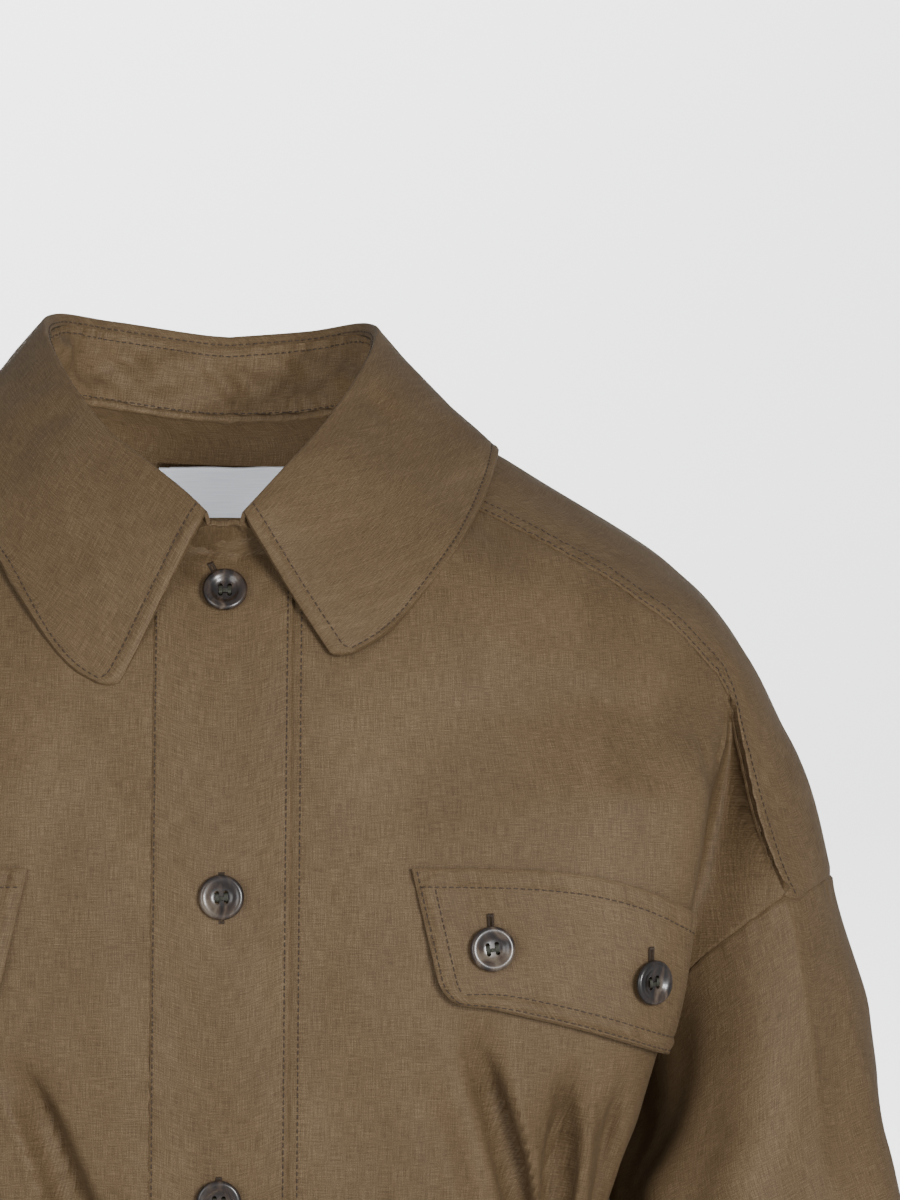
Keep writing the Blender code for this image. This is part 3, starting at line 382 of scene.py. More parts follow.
def clothPiece(name, node, base, facing, detail=None, wrap=False, thick=None,
               look=None, grain=None):
    # A thin shell. facing is a point that the cloth faces away from, or one for each row. detail gives how
    # far each point is moved along its normal, from its distances to the four edges. The inner face lies one
    # cloth thickness inside.
    thick = thick or body["cloth"]
    normals = gridNormals(base, wrap)
    if ((base - np.asarray(facing, float)) * normals).sum() < 0:
        normals = -normals
    down, across = arcs(base, 0), arcs(base, 1)
    edges = {
        "top": down, "bottom": down[-1:] - down, "left": across, "right": across[:, -1:] - across,
        "down": down, "across": across, "point": base,
    }
    outer = base if detail is None else base + detail(edges)[..., None] * normals
    inner = outer - thick * normals
    rows, columns = base.shape[:2]
    count = rows * columns
    front = gridFaces(rows, columns, wrap)
    faces = [front, front[:, ::-1] + count]
    if wrap:
        loops = [np.arange(columns), np.arange(count - columns, count)[::-1]]
    else:
        numbers = np.arange(count).reshape(rows, columns)
        sides = [numbers[0, :-1], numbers[:-1, -1], numbers[-1, :0:-1], numbers[::-1, 0]]
        loops = [np.concatenate(sides)[:-1]]
    for loop in loops:
        after = np.roll(loop, -1)
        faces.append(np.stack([loop, after, after + count, loop + count], 1))
    faces = [faces[0], faces[1]] + [rimFacing(outer, faces[0], rim) for rim in faces[2:]]
    points = np.concatenate([outer.reshape(-1, 3), inner.reshape(-1, 3)])
    flat = (np.stack([across, down], -1) if grain is None else grain(base)).reshape(-1, 2)
    piece = meshFrom(name, points, outwards(points, faces), np.concatenate([flat, flat]))
    finishPiece(piece, node, look or clothLook)
    width, length = float(across.max()), float(down.max())
    if wrap:
        width += float(np.linalg.norm(base[:, 0] - base[:, -1], axis=-1).max())
    crossed = np.cross(base[1:, 1:] - base[:-1, :-1], base[1:, :-1] - base[:-1, 1:])
    area = float(np.linalg.norm(crossed, axis=-1).sum()) / 2
    if wrap:
        area *= columns / (columns - 1)
    area = min(area, width * length)
    sheets.append((name, round(width), round(length), round(area / 1e6, 4)))
    return {"outer": outer, "inner": inner, "normals": normals, "down": down, "across": across}


def rimFacing(outer, front, rim):  # turns a rim round so that it runs against the edges of the front faces
    pairs = {tuple(pair) for pair in np.concatenate([front[:, [k, (k + 1) % 4]] for k in range(4)]).tolist()}
    return rim[:, ::-1] if tuple(rim[0, :2].tolist()) in pairs else rim


# finishes
def addNode(tree, kind, links=None, **settings):  # links: input name to a value or to (node, output name)
    made = tree.nodes.new(kind)
    for key, value in settings.items():
        setattr(made, key, value)
    for key, value in (links or {}).items():
        if isinstance(value, tuple) and isinstance(value[0], bpy.types.Node):
            tree.links.new(value[0].outputs[value[1]], made.inputs[key])
        else:
            made.inputs[key].default_value = value
    return made


def newLook(name):
    look = bpy.data.materials.new(name)
    look.use_nodes = True
    return look, look.node_tree, look.node_tree.nodes["Principled BSDF"]


def rampOf(tree, source, stops):
    ramp = addNode(tree, "ShaderNodeValToRGB", {"Fac": source})
    parts = ramp.color_ramp.elements
    while len(parts) < len(stops):
        parts.new(0.5)
    for part, (place, colour) in zip(parts, stops):
        part.position = place
        part.color = (*colour, 1)
    return ramp


def addRelief(tree, shader, height, distance, strength):
    bump = addNode(tree, "ShaderNodeBump", {"Height": height, "Distance": distance, "Strength": strength})
    tree.links.new(bump.outputs["Normal"], shader.inputs["Normal"])


weave = {
    "dark": (0.064, 0.041, 0.020),
    "middle": (0.110, 0.071, 0.036),
    "light": (0.172, 0.120, 0.068),
    "slubWidth": 0.42,  # millimetres across a slub
    "slubLength": 9.0,
    "threadSize": 0.5,
    "blotch": 45.0,  # size of the cloudy patches
    "blotchDepth": 0.16,
    "slubDepth": 0.33,
    "threadDepth": 0.34,
    "roughness": 0.58,
    "bump": 0.13,
}


def weaveLook(name, tint=(1, 1, 1)):
    # long thin noise both ways for the slubs and fine noise for the threads, added up for colour and relief
    look, tree, shader = newLook(name)
    uv = addNode(tree, "ShaderNodeUVMap", uv_map="cloth")

    def noise(across, down, detail, distortion=0.0):
        scale = (1000 / across, 1000 / down, 1)
        place = addNode(tree, "ShaderNodeMapping", {"Vector": (uv, "UV"), "Scale": scale})
        return addNode(tree, "ShaderNodeTexNoise", {
            "Vector": (place, "Vector"), "Scale": 1.0, "Detail": detail, "Distortion": distortion})

    def total(first, second, factor):
        return addNode(tree, "ShaderNodeMath", {0: second, 1: factor, 2: first}, operation="MULTIPLY_ADD")

    warp = noise(weave["slubWidth"], weave["slubLength"], 2)
    weft = noise(weave["slubLength"] * 0.8, weave["slubWidth"], 2)
    fine = noise(weave["threadSize"], weave["threadSize"], 1)
    threads = addNode(tree, "ShaderNodeMath", {0: (fine, "Fac"), 1: weave["threadDepth"]},
                      operation="MULTIPLY")
    slubs = total((threads, "Value"), (warp, "Fac"), weave["slubDepth"])
    slubs = total((slubs, "Value"), (weft, "Fac"), weave["slubDepth"])
    cloud = noise(weave["blotch"], weave["blotch"] * 1.4, 3, 0.6)
    tone = total((slubs, "Value"), (cloud, "Fac"), weave["blotchDepth"])
    ramp = rampOf(tree, (tone, "Value"), [
        (0.42, tuple(a * b for a, b in zip(weave["dark"], tint))),
        (0.58, tuple(a * b for a, b in zip(weave["middle"], tint))),
        (0.74, tuple(a * b for a, b in zip(weave["light"], tint))),
    ])
    tree.links.new(ramp.outputs["Color"], shader.inputs["Base Color"])
    addRelief(tree, shader, (slubs, "Value"), weave["bump"] / 1000 * 3, 0.55)
    shader.inputs["Roughness"].default_value = weave["roughness"]
    shader.inputs["Specular IOR Level"].default_value = 0.16
    shader.inputs["Sheen Weight"].default_value = 0.03
    shader.inputs["Sheen Roughness"].default_value = 0.35
    shader.inputs["Sheen Tint"].default_value = (0.80, 0.74, 0.52, 1)
    return look


clothLook = weaveLook("khakiWeave")


def threadLookOf(name, colour, roughness=0.6):  # twisted thread: fine noise in lightness and relief
    look, tree, shader = newLook(name)
    place = addNode(tree, "ShaderNodeTexCoord")
    noise = addNode(tree, "ShaderNodeTexNoise", {"Vector": (place, "Object"), "Scale": 2600.0, "Detail": 1.0})
    ramp = rampOf(tree, (noise, "Fac"), [
        (0.3, tuple(c * 0.7 for c in colour)), (0.7, tuple(c * 1.25 for c in colour)),
    ])
    tree.links.new(ramp.outputs["Color"], shader.inputs["Base Color"])
    addRelief(tree, shader, (noise, "Fac"), 0.0001, 0.5)
    shader.inputs["Roughness"].default_value = roughness
    return look


threadLook = threadLookOf("stitchThread", (0.040, 0.024, 0.012))
rustThreadLook = threadLookOf("rustThread", (0.13, 0.050, 0.020))
buttonThreadLook = threadLookOf("buttonThread", (0.030, 0.030, 0.018), 0.5)
print("finishes made")


# fronts, back and yoke
def leaning(points):  # the buttoned front hangs a little towards the wearer's right as it goes down
    drop = -points[..., 2]
    near = np.exp(-((points[..., 0] / drape["leanReach"]) ** 2))
    amount = drape["lean"] * np.clip(drop - 64, 0, 270) * near
    return points - np.stack([amount, 0 * amount, 0 * amount], -1)


drape = {
    "neckShift": 14.5,
    "neckRaise": 0.28,
    "lean": 0.0095,
    "leanReach": 95.0,
    "swell": 1.4,  # broad waves of the cloth
    "swellLength": 75.0,
    "crumple": 0.16,
    "crumpleLength": 22.0,
    "seamDip": 0.8,
    "seamRadius": 1.3,
    "tuckUnder": 3.5,  # how far an edge runs on under the piece that laps it
    "tuckDepth": 0.5,
    "allowance": 8.5,  # width of the seam allowance pressed under the yoke's edge
    "allowanceLift": 0.35,
}
stitching = {
    "pitch": 3.0,
    "length": 2.25,
    "radius": 0.27,
    "edgeRow": 1.6,
    "secondRow": 7.2,
    "groove": 0.22,
    "grooveWidth": 0.85,
}


def widened(points):
    # the neck stands open further and a little higher on the wearer's right: a smooth shift above its seam
    x, z = points[..., 0], points[..., 2]
    near = smooth((-x - 6) / 30) * (1 - smooth((-x - 75) / 110))
    amount = drape["neckShift"] * smooth((z + 52) / 60) * near
    return points + np.stack([-amount, 0 * amount, drape["neckRaise"] * amount], -1)


def uprightGrain(points):
    # cloth cut with its threads upright: x and depth across, the length of the front's middle line down
    drop = -points[..., 2]
    line = np.linspace(-30, 480, 500)
    run = np.concatenate([[0], np.cumsum(np.hypot(np.diff(line), np.diff(along(body["depths"], line)[0])))])
    away = np.interp(drop, line, along(body["depths"], line)[0]) - np.abs(points[..., 1])
    return np.stack([points[..., 0] + np.sign(points[..., 0]) * away, np.interp(drop, line, run)], -1)


def tuckRows(base, reach, rows=4):  # rows added before the first, run on straight past the edge
    step = base[0] - base[1]
    step /= np.maximum(np.linalg.norm(step, axis=-1, keepdims=True), 1e-9)
    extra = [base[0] + step * reach * k / rows for k in range(rows, 0, -1)]
    return np.concatenate([np.stack(extra), base])


def softness(edges, seed):  # the cloth's own unevenness
    point = edges["point"]
    broad = waves(point * (1, 1, 0.6), drape["swellLength"], seed)
    return drape["swell"] * broad + drape["crumple"] * waves(point, drape["crumpleLength"], seed + 7)


def rows(*places):  # the grooves that rows of stitches pull in, at those distances from an edge
    return lambda distance: sum(
        groove(distance, place, stitching["grooveWidth"], stitching["groove"]) for place in places
    )


def frontPanel(side):
    lines = np.unique(np.concatenate([
        spaced(185, high=False) * frontFoldS,
        frontFoldS + (1 - frontFoldS) * spaced(70, low=False),
    ]))
    s, t = np.meshgrid(lines, spaced(375))
    reach = drape["tuckUnder"]
    base = tuckRows(panelPoint(s, t, False, side), reach)
    base = leaning(widened(np.swapaxes(tuckRows(np.swapaxes(base, 0, 1), reach), 0, 1) * (side, 1, 1)))

    recess = smooth((np.concatenate([np.zeros(4), lines]) - frontFoldS) / 0.05)[None, :]

    def detail(edges):
        top, band = edges["top"] - reach, edges["left"] - reach
        lapped = np.minimum(top, band + 0.8) if side > 0 else top
        under = -drape["tuckDepth"] * (1 - smooth((lapped + 0.3) / 1.8)) * (1 - 0.6 * recess)
        sewn = pucker(top, edges["across"], 20 + side, 8, 0.20, 7)
        fade = smooth(top / 25) * smooth(band / 20) * smooth(edges["right"] / 15)
        fade = fade * smooth(edges["bottom"] / 25)
        sides = turnedEdge(edges["right"], drape["seamRadius"], drape["seamDip"])
        bandPucker = pucker(band, edges["down"], 30 + side, 7, 0.14, 8)
        if side > 0:
            bandPucker = bandPucker + rows(front["bandRow"])(band)
        hang = creases(edges["point"] * (side, 1, 1), front["creases"][side])
        x, drop = edges["point"][..., 0] * side, -edges["point"][..., 2]
        start, end, inner, share = front["quiet"]
        flat = smooth((drop - start) / 25) * smooth((end - drop) / 30) * smooth((x - inner) / 25)
        fade = fade * (1 - share * flat)
        return under + sewn + sides + bandPucker + softness(edges, 3 + side) * fade + hang * smooth(band / 6)

    name = "left" if side > 0 else "right"
    return clothPiece("front_" + name + "_cloth", "front_" + name, base, (0, 0, -250), detail,
                      grain=uprightGrain)


def creases(point, table):
    # sharp or rounded folds along bowed lines: the height falls off across the line as exp(-distance / width)
    # for a sharp one and as a Gaussian for a round one, and fades out at both ends
    total = np.zeros(point.shape[:-1])
    for x0, drop0, x1, drop1, bow, width, height, sharp in table:
        f = (-point[..., 2] - drop0) / (drop1 - drop0)
        line = x0 + (x1 - x0) * f + 4 * bow * f * (1 - f)
        across = (point[..., 0] - line) / (width * (0.6 + 0.4 * np.clip(f, 0, 1)))
        shape = np.exp(-(across**2))
        if sharp:
            shape = np.exp(0.5 - np.sqrt(across**2 + 0.25)) * np.exp(-((across / 2.6) ** 2))
        total += height * shape * smooth(f / 0.35) * smooth((1.0 - f) / 0.25)
    return total * (point[..., 1] < 0)


front = {
    "bandRow": 1.3,  # stitching beside the band, on the wearer's left
    "quiet": (150, 285, 50, 0.8),  # calmer cloth under the flap: drop from and to, x from, share taken off
    # x and drop at both ends, bow, width, height, 1 for a sharp crest
    "creases": {
        1: (
            (101, 244, 131, 350, 2.5, 7.0, -9.5, 0), (115, 250, 138, 360, 2.0, 4.5, 3.4, 1),
            (145, 254, 138, 360, -2.0, 5.5, -7.5, 0), (154, 262, 144, 360, 1.5, 3.6, 2.8, 1),
            (167, 258, 148, 365, 2.0, 4.8, -6.0, 0), (84, 262, 104, 365, 2.0, 9.0, -3.6, 0),
            (62, 290, 74, 400, 1.0, 7.0, -1.6, 0),
            (196, 118, 204, 150, 1.0, 2.4, -1.2, 0), (150, 96, 176, 150, 2, 8.0, -0.9, 0),
        ),
        -1: (
            (88, 254, 54, 350, -2.0, 7.0, -7.0, 0), (99, 258, 66, 356, -2.0, 4.4, 3.2, 1),
            (124, 254, 112, 360, -1.0, 5.2, -5.5, 0), (140, 260, 122, 356, 2.0, 3.8, 2.6, 1),
            (160, 258, 142, 362, 1.0, 4.5, -4.4, 0), (46, 300, 44, 400, 1.0, 8.0, -2.4, 0),
            (198, 120, 204, 152, 1.0, 2.4, -1.2, 0), (152, 98, 174, 146, 2, 8.0, -0.9, 0),
        ),
    },
}
fronts = {side: frontPanel(side) for side in (1, -1)}
print("fronts made")


def backPanel():
    half = np.unique(np.concatenate([
        spaced(130, low=False, high=False) * backFoldS,
        backFoldS + (1 - backFoldS) * spaced(45, low=False),
    ]))
    s = np.concatenate([-half[:0:-1], half])
    s, t = np.meshgrid(s, spaced(230))
    base = tuckRows(mirrorAcross(lambda u, v: panelPoint(u, v, True, 1), s, t), drape["tuckUnder"])

    def detail(edges):
        top = edges["top"] - drape["tuckUnder"]
        under = -drape["tuckDepth"] * (1 - smooth((top + 0.3) / 2.4))
        sewn = pucker(top, edges["across"], 41, 8, 0.20, 7)
        sides = turnedEdge(nearest(edges, "left", "right"), drape["seamRadius"], drape["seamDip"])
        fade = smooth(top / 25) * smooth(nearest(edges, "left", "right") / 15) * smooth(
            edges["bottom"] / 25)
        hang = backFolds(edges["point"])
        return under + sewn + sides + (softness(edges, 9) + hang) * fade

    return clothPiece("back_cloth", "back", base, (0, 0, -250), detail,
                      grain=uprightGrain)


backCreases = {
    # soft folds of the blouse above the waist: x and drop at top, x and drop at foot, width, depth
    "folds": (
        (-128, 170, -96, 330, 11, -3.4), (-112, 210, -70, 400, 9, 2.2), (-74, 250, -66, 425, 10, -3.2),
        (-40, 300, -44, 425, 8, -2.0), (-8, 270, 4, 425, 11, -2.6), (30, 310, 26, 425, 8, -1.8),
        (66, 240, 58, 425, 10, -3.0), (104, 200, 78, 400, 9, 2.4), (134, 180, 104, 340, 11, -3.6),
    ),
}


def backFolds(point):  # Gaussian troughs and ridges along slanting lines, fading in from their tops
    total = np.zeros(point.shape[:-1])
    for xTop, dropTop, xFoot, dropFoot, width, depth in backCreases["folds"]:
        f = (-point[..., 2] - dropTop) / (dropFoot - dropTop)
        across = (point[..., 0] - xTop - (xFoot - xTop) * np.clip(f, 0, 1.2)) / width
        fade = smooth(f / 0.5) * (1 - smooth((-point[..., 2] - 395) / 30))
        total += depth * np.exp(-across * across) * fade
    return total


backPanel()


def yokePanel():
    half = np.unique(np.concatenate([
        spaced(120, low=False, high=False) * yokeNeckU,
        yokeNeckU + (1 - yokeNeckU) * spaced(225, low=False),
    ]))
    u = np.concatenate([-half[:0:-1], half])
    u, v = np.meshgrid(u, spaced(150))
    base = widened(mirrorAcross(yokePoint, u, v))
    outer = smooth((np.abs(u) - yokeNeckU) / 0.04)

    def detail(edges):
        seam = np.minimum(edges["top"] + 400 * (1 - outer), edges["bottom"])
        recess = smooth((np.abs(u) - backFoldS) / 0.05) * (edges["top"] < edges["bottom"])
        lift = drape["allowanceLift"] * (1 - smooth((seam - drape["allowance"]) / 2.5))
        lift = lift - 0.7 * recess * (1 - smooth(seam / 7))
        edge = turnedEdge(seam, 0.6, 0.5)
        stitched = rows(stitching["edgeRow"], stitching["secondRow"])(seam)
        run = edges["across"] + np.where(edges["top"] < edges["bottom"], 0, 900)
        sewn = pucker(seam, run, 52, 11, 0.20, 9) * (1 - 0.6 * recess)
        sides = turnedEdge(nearest(edges, "left", "right"), drape["seamRadius"], drape["seamDip"])
        fade = smooth(np.minimum(seam, edges["top"]) / 20)
        return lift + edge + stitched + sewn * smooth(nearest(edges, "left", "right") / 4) + sides + (
            softness(edges, 12) * fade * 0.6)

    return clothPiece("yoke_cloth", "yoke", base, (0, 0, -150), detail, thick=1.0)


yokeCloth = yokePanel()
print("back and yoke made")


# sleeves and cuffs
sleeve = {
    "around": 150,  # points round the sleeve
    "grain": 2.6,
    "hang": 1.5,  # depth of the soft folds that hang down it
    "elbow": 2.4,
}


def armholeRing():  # from the underarm up the front, over the yoke and down the back, closed
    t = np.linspace(1, 0, 40)
    one = np.ones(40)
    up = panelPoint(one, t * body["underarm"], False, 1)
    over = yokePoint(np.ones(60), np.linspace(0, 1, 60))
    down = panelPoint(one, t[::-1] * body["underarm"], True, 1)
    line = np.concatenate([up[:-1], over, down[1:]])
    run = np.concatenate([[0], np.cumsum(np.linalg.norm(np.diff(line, axis=0), axis=1))])
    even = np.linspace(0, run[-1], sleeve["around"] + 1)[:-1]
    return np.stack([np.interp(even, run, line[:, k]) for k in range(3)], -1)


def sleevePoint(ring, v):
    # ellipses at their drop, drawn out at the top to the armhole's own outline
    topDrop = -ring[None, :, 2]
    drop = topDrop + (body["wrist"] - topDrop) * v
    centreX, centreY, width, depth = along(body["sleeve"], topDrop)
    turn = np.unwrap(np.arctan2((ring[None, :, 1] - centreY) / depth, (ring[None, :, 0] - centreX) / width))
    count = ring.shape[0]
    even = turn[0, 0] + (np.arange(count) / count)[None, :] * 2 * np.pi * np.sign(turn[0, -1] - turn[0, 0])
    missingX = ring[None, :, 0] - centreX - width * np.cos(turn)
    missingY = ring[None, :, 1] - centreY - depth * np.sin(turn)
    fade = 1 - smooth(v / 0.45)
    angle = turn * fade + even * (1 - fade)
    centreX, centreY, width, depth = along(body["sleeve"], drop)
    x = centreX + width * np.cos(angle) + missingX * fade
    y = centreY + depth * np.sin(angle) + missingY * fade
    return np.stack([x, y, -drop], -1), angle


def sleevePiece(side):
    ring = armholeRing()
    v = spaced(300)[:, None]
    base, angle = sleevePoint(ring, v)

    def detail(edges):
        point = edges["point"]
        drop = -point[..., 2]
        dip = turnedEdge(edges["top"], drape["seamRadius"], drape["seamDip"])
        foot = turnedEdge(edges["bottom"], 1.2, 0.7)
        sewn = pucker(edges["top"], edges["across"], 61, 7, 0.22, 8)
        gather = pucker(edges["bottom"], edges["across"], 63, 26, 0.8, 11)
        slant = np.stack([60 * np.cos(angle) + 0.25 * drop, 60 * np.sin(angle), 0.22 * drop], -1)
        folds = sleeve["hang"] * waves(slant, 42, 65)
        elbow = sleeve["elbow"] * np.exp(-(((drop - 420) / 60) ** 2)) * waves(point * (0.4, 1, 1.3), 38, 66)
        fade = smooth(edges["top"] / 60) * smooth(edges["bottom"] / 30)
        small = drape["crumple"] * waves(point, drape["crumpleLength"], 67)
        return dip + foot + sewn + gather + (folds + elbow * 0.6 + small) * fade

    if side < 0:
        base = base * (-1, 1, 1)
    centre = base.mean(1, keepdims=True)
    name = "left" if side > 0 else "right"
    return clothPiece("sleeve_" + name + "_cloth", "sleeve_" + name, base, centre, detail, wrap=True)


for side in (1, -1):
    sleevePiece(side)
print("sleeves made")


# collar and stand
collar = {
    # roll line from the centre of the back to the front point: share, x, y, height
    "roll": (
        (0.0, 0, 66, 45), (0.22, 34, 61, 47.5), (0.42, 59, 38, 50.5), (0.56, 63, 8, 45), (0.68, 56, -26, 29),
        (0.8, 40, -60, 6), (0.9, 23, -84, -13), (1.0, 7.5, -98, -30),
    ),
    # outer edge: share, x, drop, side
    "edge": (
        (0.0, 0, 23, 1), (0.22, 52, 21, 1), (0.42, 93, 15, 1), (0.56, 111, 6.4, 0), (0.66, 108, 19, -1),
        (0.76, 97.5, 42, -1), (0.86, 82, 64.5, -1), (0.94, 62.5, 85, -1), (1.0, 45.5, 95, -1),
    ),
    "rightDrop": 12.5,  # the point on the wearer's right hangs lower
    "lift": 4.2,
    "centre": -60.0,
    "thick": 1.9,
    "swell": -0.8,
    "tip": 0.034,
    "rollRadius": 2.4,
    "seamDepth": 5.0,
    "stitchInset": 6.0,
}
stand = {
    "lap": 0.2,
    "endX": 16.0,
    "top": (-90.5, -35.5),
    "thick": 1.6,
    "wrinkle": 1.9,
}


def collarLines(c):  # neck seam, roll line, outer edge and outward direction at c, from the back to the front
    x, reach = seamReach(body["neckSeam"], np.minimum(c, 1))
    neck = shellPoint(x, reach)
    roll = np.stack(along(collar["roll"], np.minimum(c, 1)), -1)
    x, reach = seamReach(collar["edge"], np.minimum(c, 1))
    edge = shellPoint(x, reach)
    lift = edge * np.array([1, 1, 0]) - np.array([0, 0, collar["centre"]])
    edge = edge + collar["lift"] * lift / np.linalg.norm(lift, axis=-1, keepdims=True)
    ahead = np.stack(along(collar["roll"], np.minimum(c + 0.01, 1)), -1)
    behind = np.stack(along(collar["roll"], np.clip(c - 0.01, -1, 0.99)), -1)
    run = ahead - behind
    outward = np.stack([-run[..., 1], run[..., 0], 0 * run[..., 0]], -1)
    return neck, roll, edge, outward / np.linalg.norm(outward, axis=-1, keepdims=True)


def through(stops, lines, at):  # smooth curve through one array of points for each stop
    slopes = np.gradient(lines, np.array(stops), axis=0)
    result = np.zeros(lines.shape[1:])
    for i in range(len(stops) - 1):
        step = stops[i + 1] - stops[i]
        f = np.clip((at - stops[i]) / step, 0, 1)[..., None]
        piece = cubic(lines[i], slopes[i], lines[i + 1], slopes[i + 1], f, step)
        result = np.where(((at >= stops[i]) if i else (at >= -1))[..., None], piece, result)
    return result


def collarFall(c, v):  # v runs from the seam inside the neck, over the roll and down to the outer edge
    c = c * (1 - collar["tip"] * (1 - np.sqrt(1 - np.clip((v - 0.91) / 0.095, 0, 0.95) ** 2)))
    _, roll, edge, outward = collarLines(c)
    up = np.array([0, 0, 1.0])
    r = collar["rollRadius"]
    inside = roll - r * outward - collar["seamDepth"] * up
    shoulder = roll + 1.2 * r * outward - r * up
    middle = (shoulder + edge) / 2 + collar["swell"] * (outward * 0.8 + up * 0.6)
    return through((0.0, 0.07, 0.14, 0.5, 1.0), np.stack([inside, roll, shoulder, middle, edge]), v)


def collarPiece():
    half = spaced(235, low=False)
    c = np.concatenate([-half[:0:-1], half])
    v = np.unique(np.concatenate([np.linspace(0, 0.14, 22), 0.14 + 0.86 * spaced(75, low=False)]))
    c, v = np.meshgrid(c, v)
    base = mirrorAcross(collarFall, c, v)
    low = collar["rightDrop"] * smooth((-c - 0.78) / 0.2) * smooth((v - 0.14) / 0.86)
    base = widened(base - np.stack([0 * low, 0 * low, low], -1))

    def detail(edges):
        ends = nearest(edges, "left", "right")
        near = np.minimum(edges["bottom"], ends + 30 * (1 - smooth((v - 0.10) / 0.06)))
        edge = turnedEdge(near, 1.5, 1.0)
        sewn = 1.5 * rows(collar["stitchInset"])(near) + 0.5 * np.exp(-(((near - 3.2) / 1.9) ** 2))
        run = edges["across"] + 2 * edges["down"]
        rippled = 0.16 * np.exp(-(((near - 3) / 5) ** 2)) * ripple(run, 9, 71)
        fade = smooth(near / 10) * smooth((v - 0.07) / 0.2)
        dents = collarDents(edges["point"])
        soft = 0.55 * waves(edges["point"], 48, 73) + 0.14 * waves(edges["point"], 17, 74)
        return edge + sewn + rippled + (soft + dents) * fade

    return clothPiece("collar_cloth", "collar", base, (0, 0, -60), detail, thick=collar["thick"])


def collarDents(point):  # soft creases across the roll: x, z of the middle, direction, length, width, depth
    total = np.zeros(point.shape[:-1])
    for x, z, turn, length, width, depth in (
        (-66, 12, 0.3, 13, 3.4, -1.8), (-72, 20, 0.2, 15, 4.0, 1.4), (62, 18, 2.3, 16, 3.4, -1.5),
        (78, 4, 2.0, 20, 5.0, 0.9), (-88, -8, 1.0, 22, 6.0, -1.2), (92, -20, 2.2, 22, 6, -0.9),
    ):
        dx, dz = point[..., 0] - x, point[..., 2] - z
        ahead = dx * math.cos(turn) + dz * math.sin(turn)
        aside = dz * math.cos(turn) - dx * math.sin(turn)
        total += depth * np.exp(-((ahead / length) ** 2) - (aside / width) ** 2) * (point[..., 1] < 30)
    return total


collarCloth = collarPiece()


def standPoint(c, v, over):
    # v runs from the neck seam up to the fall. Past c = 1 the end laps the other one in front.
    neck, roll, _, outward = collarLines(c)
    up = np.array([0, 0, 1.0])
    gap = 0.2 + 0.5 * smooth((c[..., None] - 0.7) / 0.3)
    top = roll - (collar["rollRadius"] - 1.6) * outward - (collar["seamDepth"] + gap) * up
    lap = np.clip((c - 1) / stand["lap"], 0, 1)[..., None]
    layer = np.array([0, -1.3 if over else 1.3, 0])
    footEnd = np.array([-stand["endX"], -shellDepth(0, body["neckFront"], -1), -body["neckFront"] - 0.6])
    topEnd = np.array([-stand["endX"], *stand["top"]])
    neck = neck + (footEnd - neck) * lap
    top = top + (topEnd - top) * lap
    point = neck + (0, 0, 0.5) + (top - neck - (0, 0, 0.5)) * v[..., None]
    return point + layer * smooth((c[..., None] - 1) / stand["lap"] * 3)


def standPiece():
    half = spaced(290, low=False) * (1 + stand["lap"])
    v = spaced(46)
    left, vLeft = np.meshgrid(half, v)
    right, vRight = np.meshgrid(half[::-1], v)
    under = standPoint(left, vLeft, False)
    over = standPoint(right, vRight, True) * (-1, 1, 1)
    base = widened(np.concatenate([over[:, :-1], under], 1))

    def detail(edges):
        ends = nearest(edges, "left", "right")
        edge = turnedEdge(np.minimum(nearest(edges, "top", "bottom"), ends), 1.0, 0.6)
        sewn = rows(2.0)(edges["bottom"]) + rows(2.0)(edges["top"])
        point = edges["point"]
        fade = smooth(nearest(edges, "top", "bottom") / 12)
        behind = smooth((point[..., 1] + 20) / 40)
        slanted = point + np.stack([0.8 * point[..., 2], 0 * behind, 0 * behind], -1)
        facing = waves(slanted * (1, 1, 1.3), 33, 81) + 0.4 * waves(slanted, 13, 82)
        facing = stand["wrinkle"] * behind * facing
        for x, z, lean, width, height in (
            (18, 22, 0.9, 1.8, 2.4), (28, 16, 0.7, 1.6, -2.2), (38, 24, 1.1, 1.5, 1.9),
            (-20, 18, -0.6, 2.0, 1.8), (-36, 24, 0.8, 1.8, -2.0), (4, 14, 1.2, 2.0, 1.6),
            (-50, 14, -0.9, 1.8, 1.8),
        ):  # sharper creases inside the back
            across = (point[..., 0] - x - lean * (point[..., 2] - z)) / width
            total = np.exp(-np.sqrt(across**2 + 0.05)) * np.exp(-(((point[..., 2] - z) / 9) ** 2))
            facing = facing + height * behind * total
        puckers = pucker(edges["bottom"], edges["across"], 83, 11, 0.30, 9) + pucker(
            edges["top"], edges["across"], 84, 9, 0.22, 8)
        return edge + sewn + facing * fade + puckers * smooth(ends / 6)

    return clothPiece("stand_cloth", "collar_stand", base, (0, 0, 0), detail, thick=stand["thick"])


standCloth = standPiece()
print("collar made")


# bands down the front
bands = {
    "top": 11.6,  # how far the placket runs on up under the collar
    "rise": 0.56,
    "bend": 4.0,
    "half": 30.0,
    "lift": 1.1,
    "depth": 1.2,
    "thick": 1.9,
    "seamRow": 1.5,  # stitching inside the sewn edge and inside the free edge
    "freeRow": 2.6,
}


def placketRise(drop):  # how far the placket leans out where it runs on up over the stand
    above = np.clip((body["neckFront"] + 1 - drop) / bands["bend"], -30, 30)
    return bands["rise"] * bands["bend"] * np.log1p(np.exp(above))


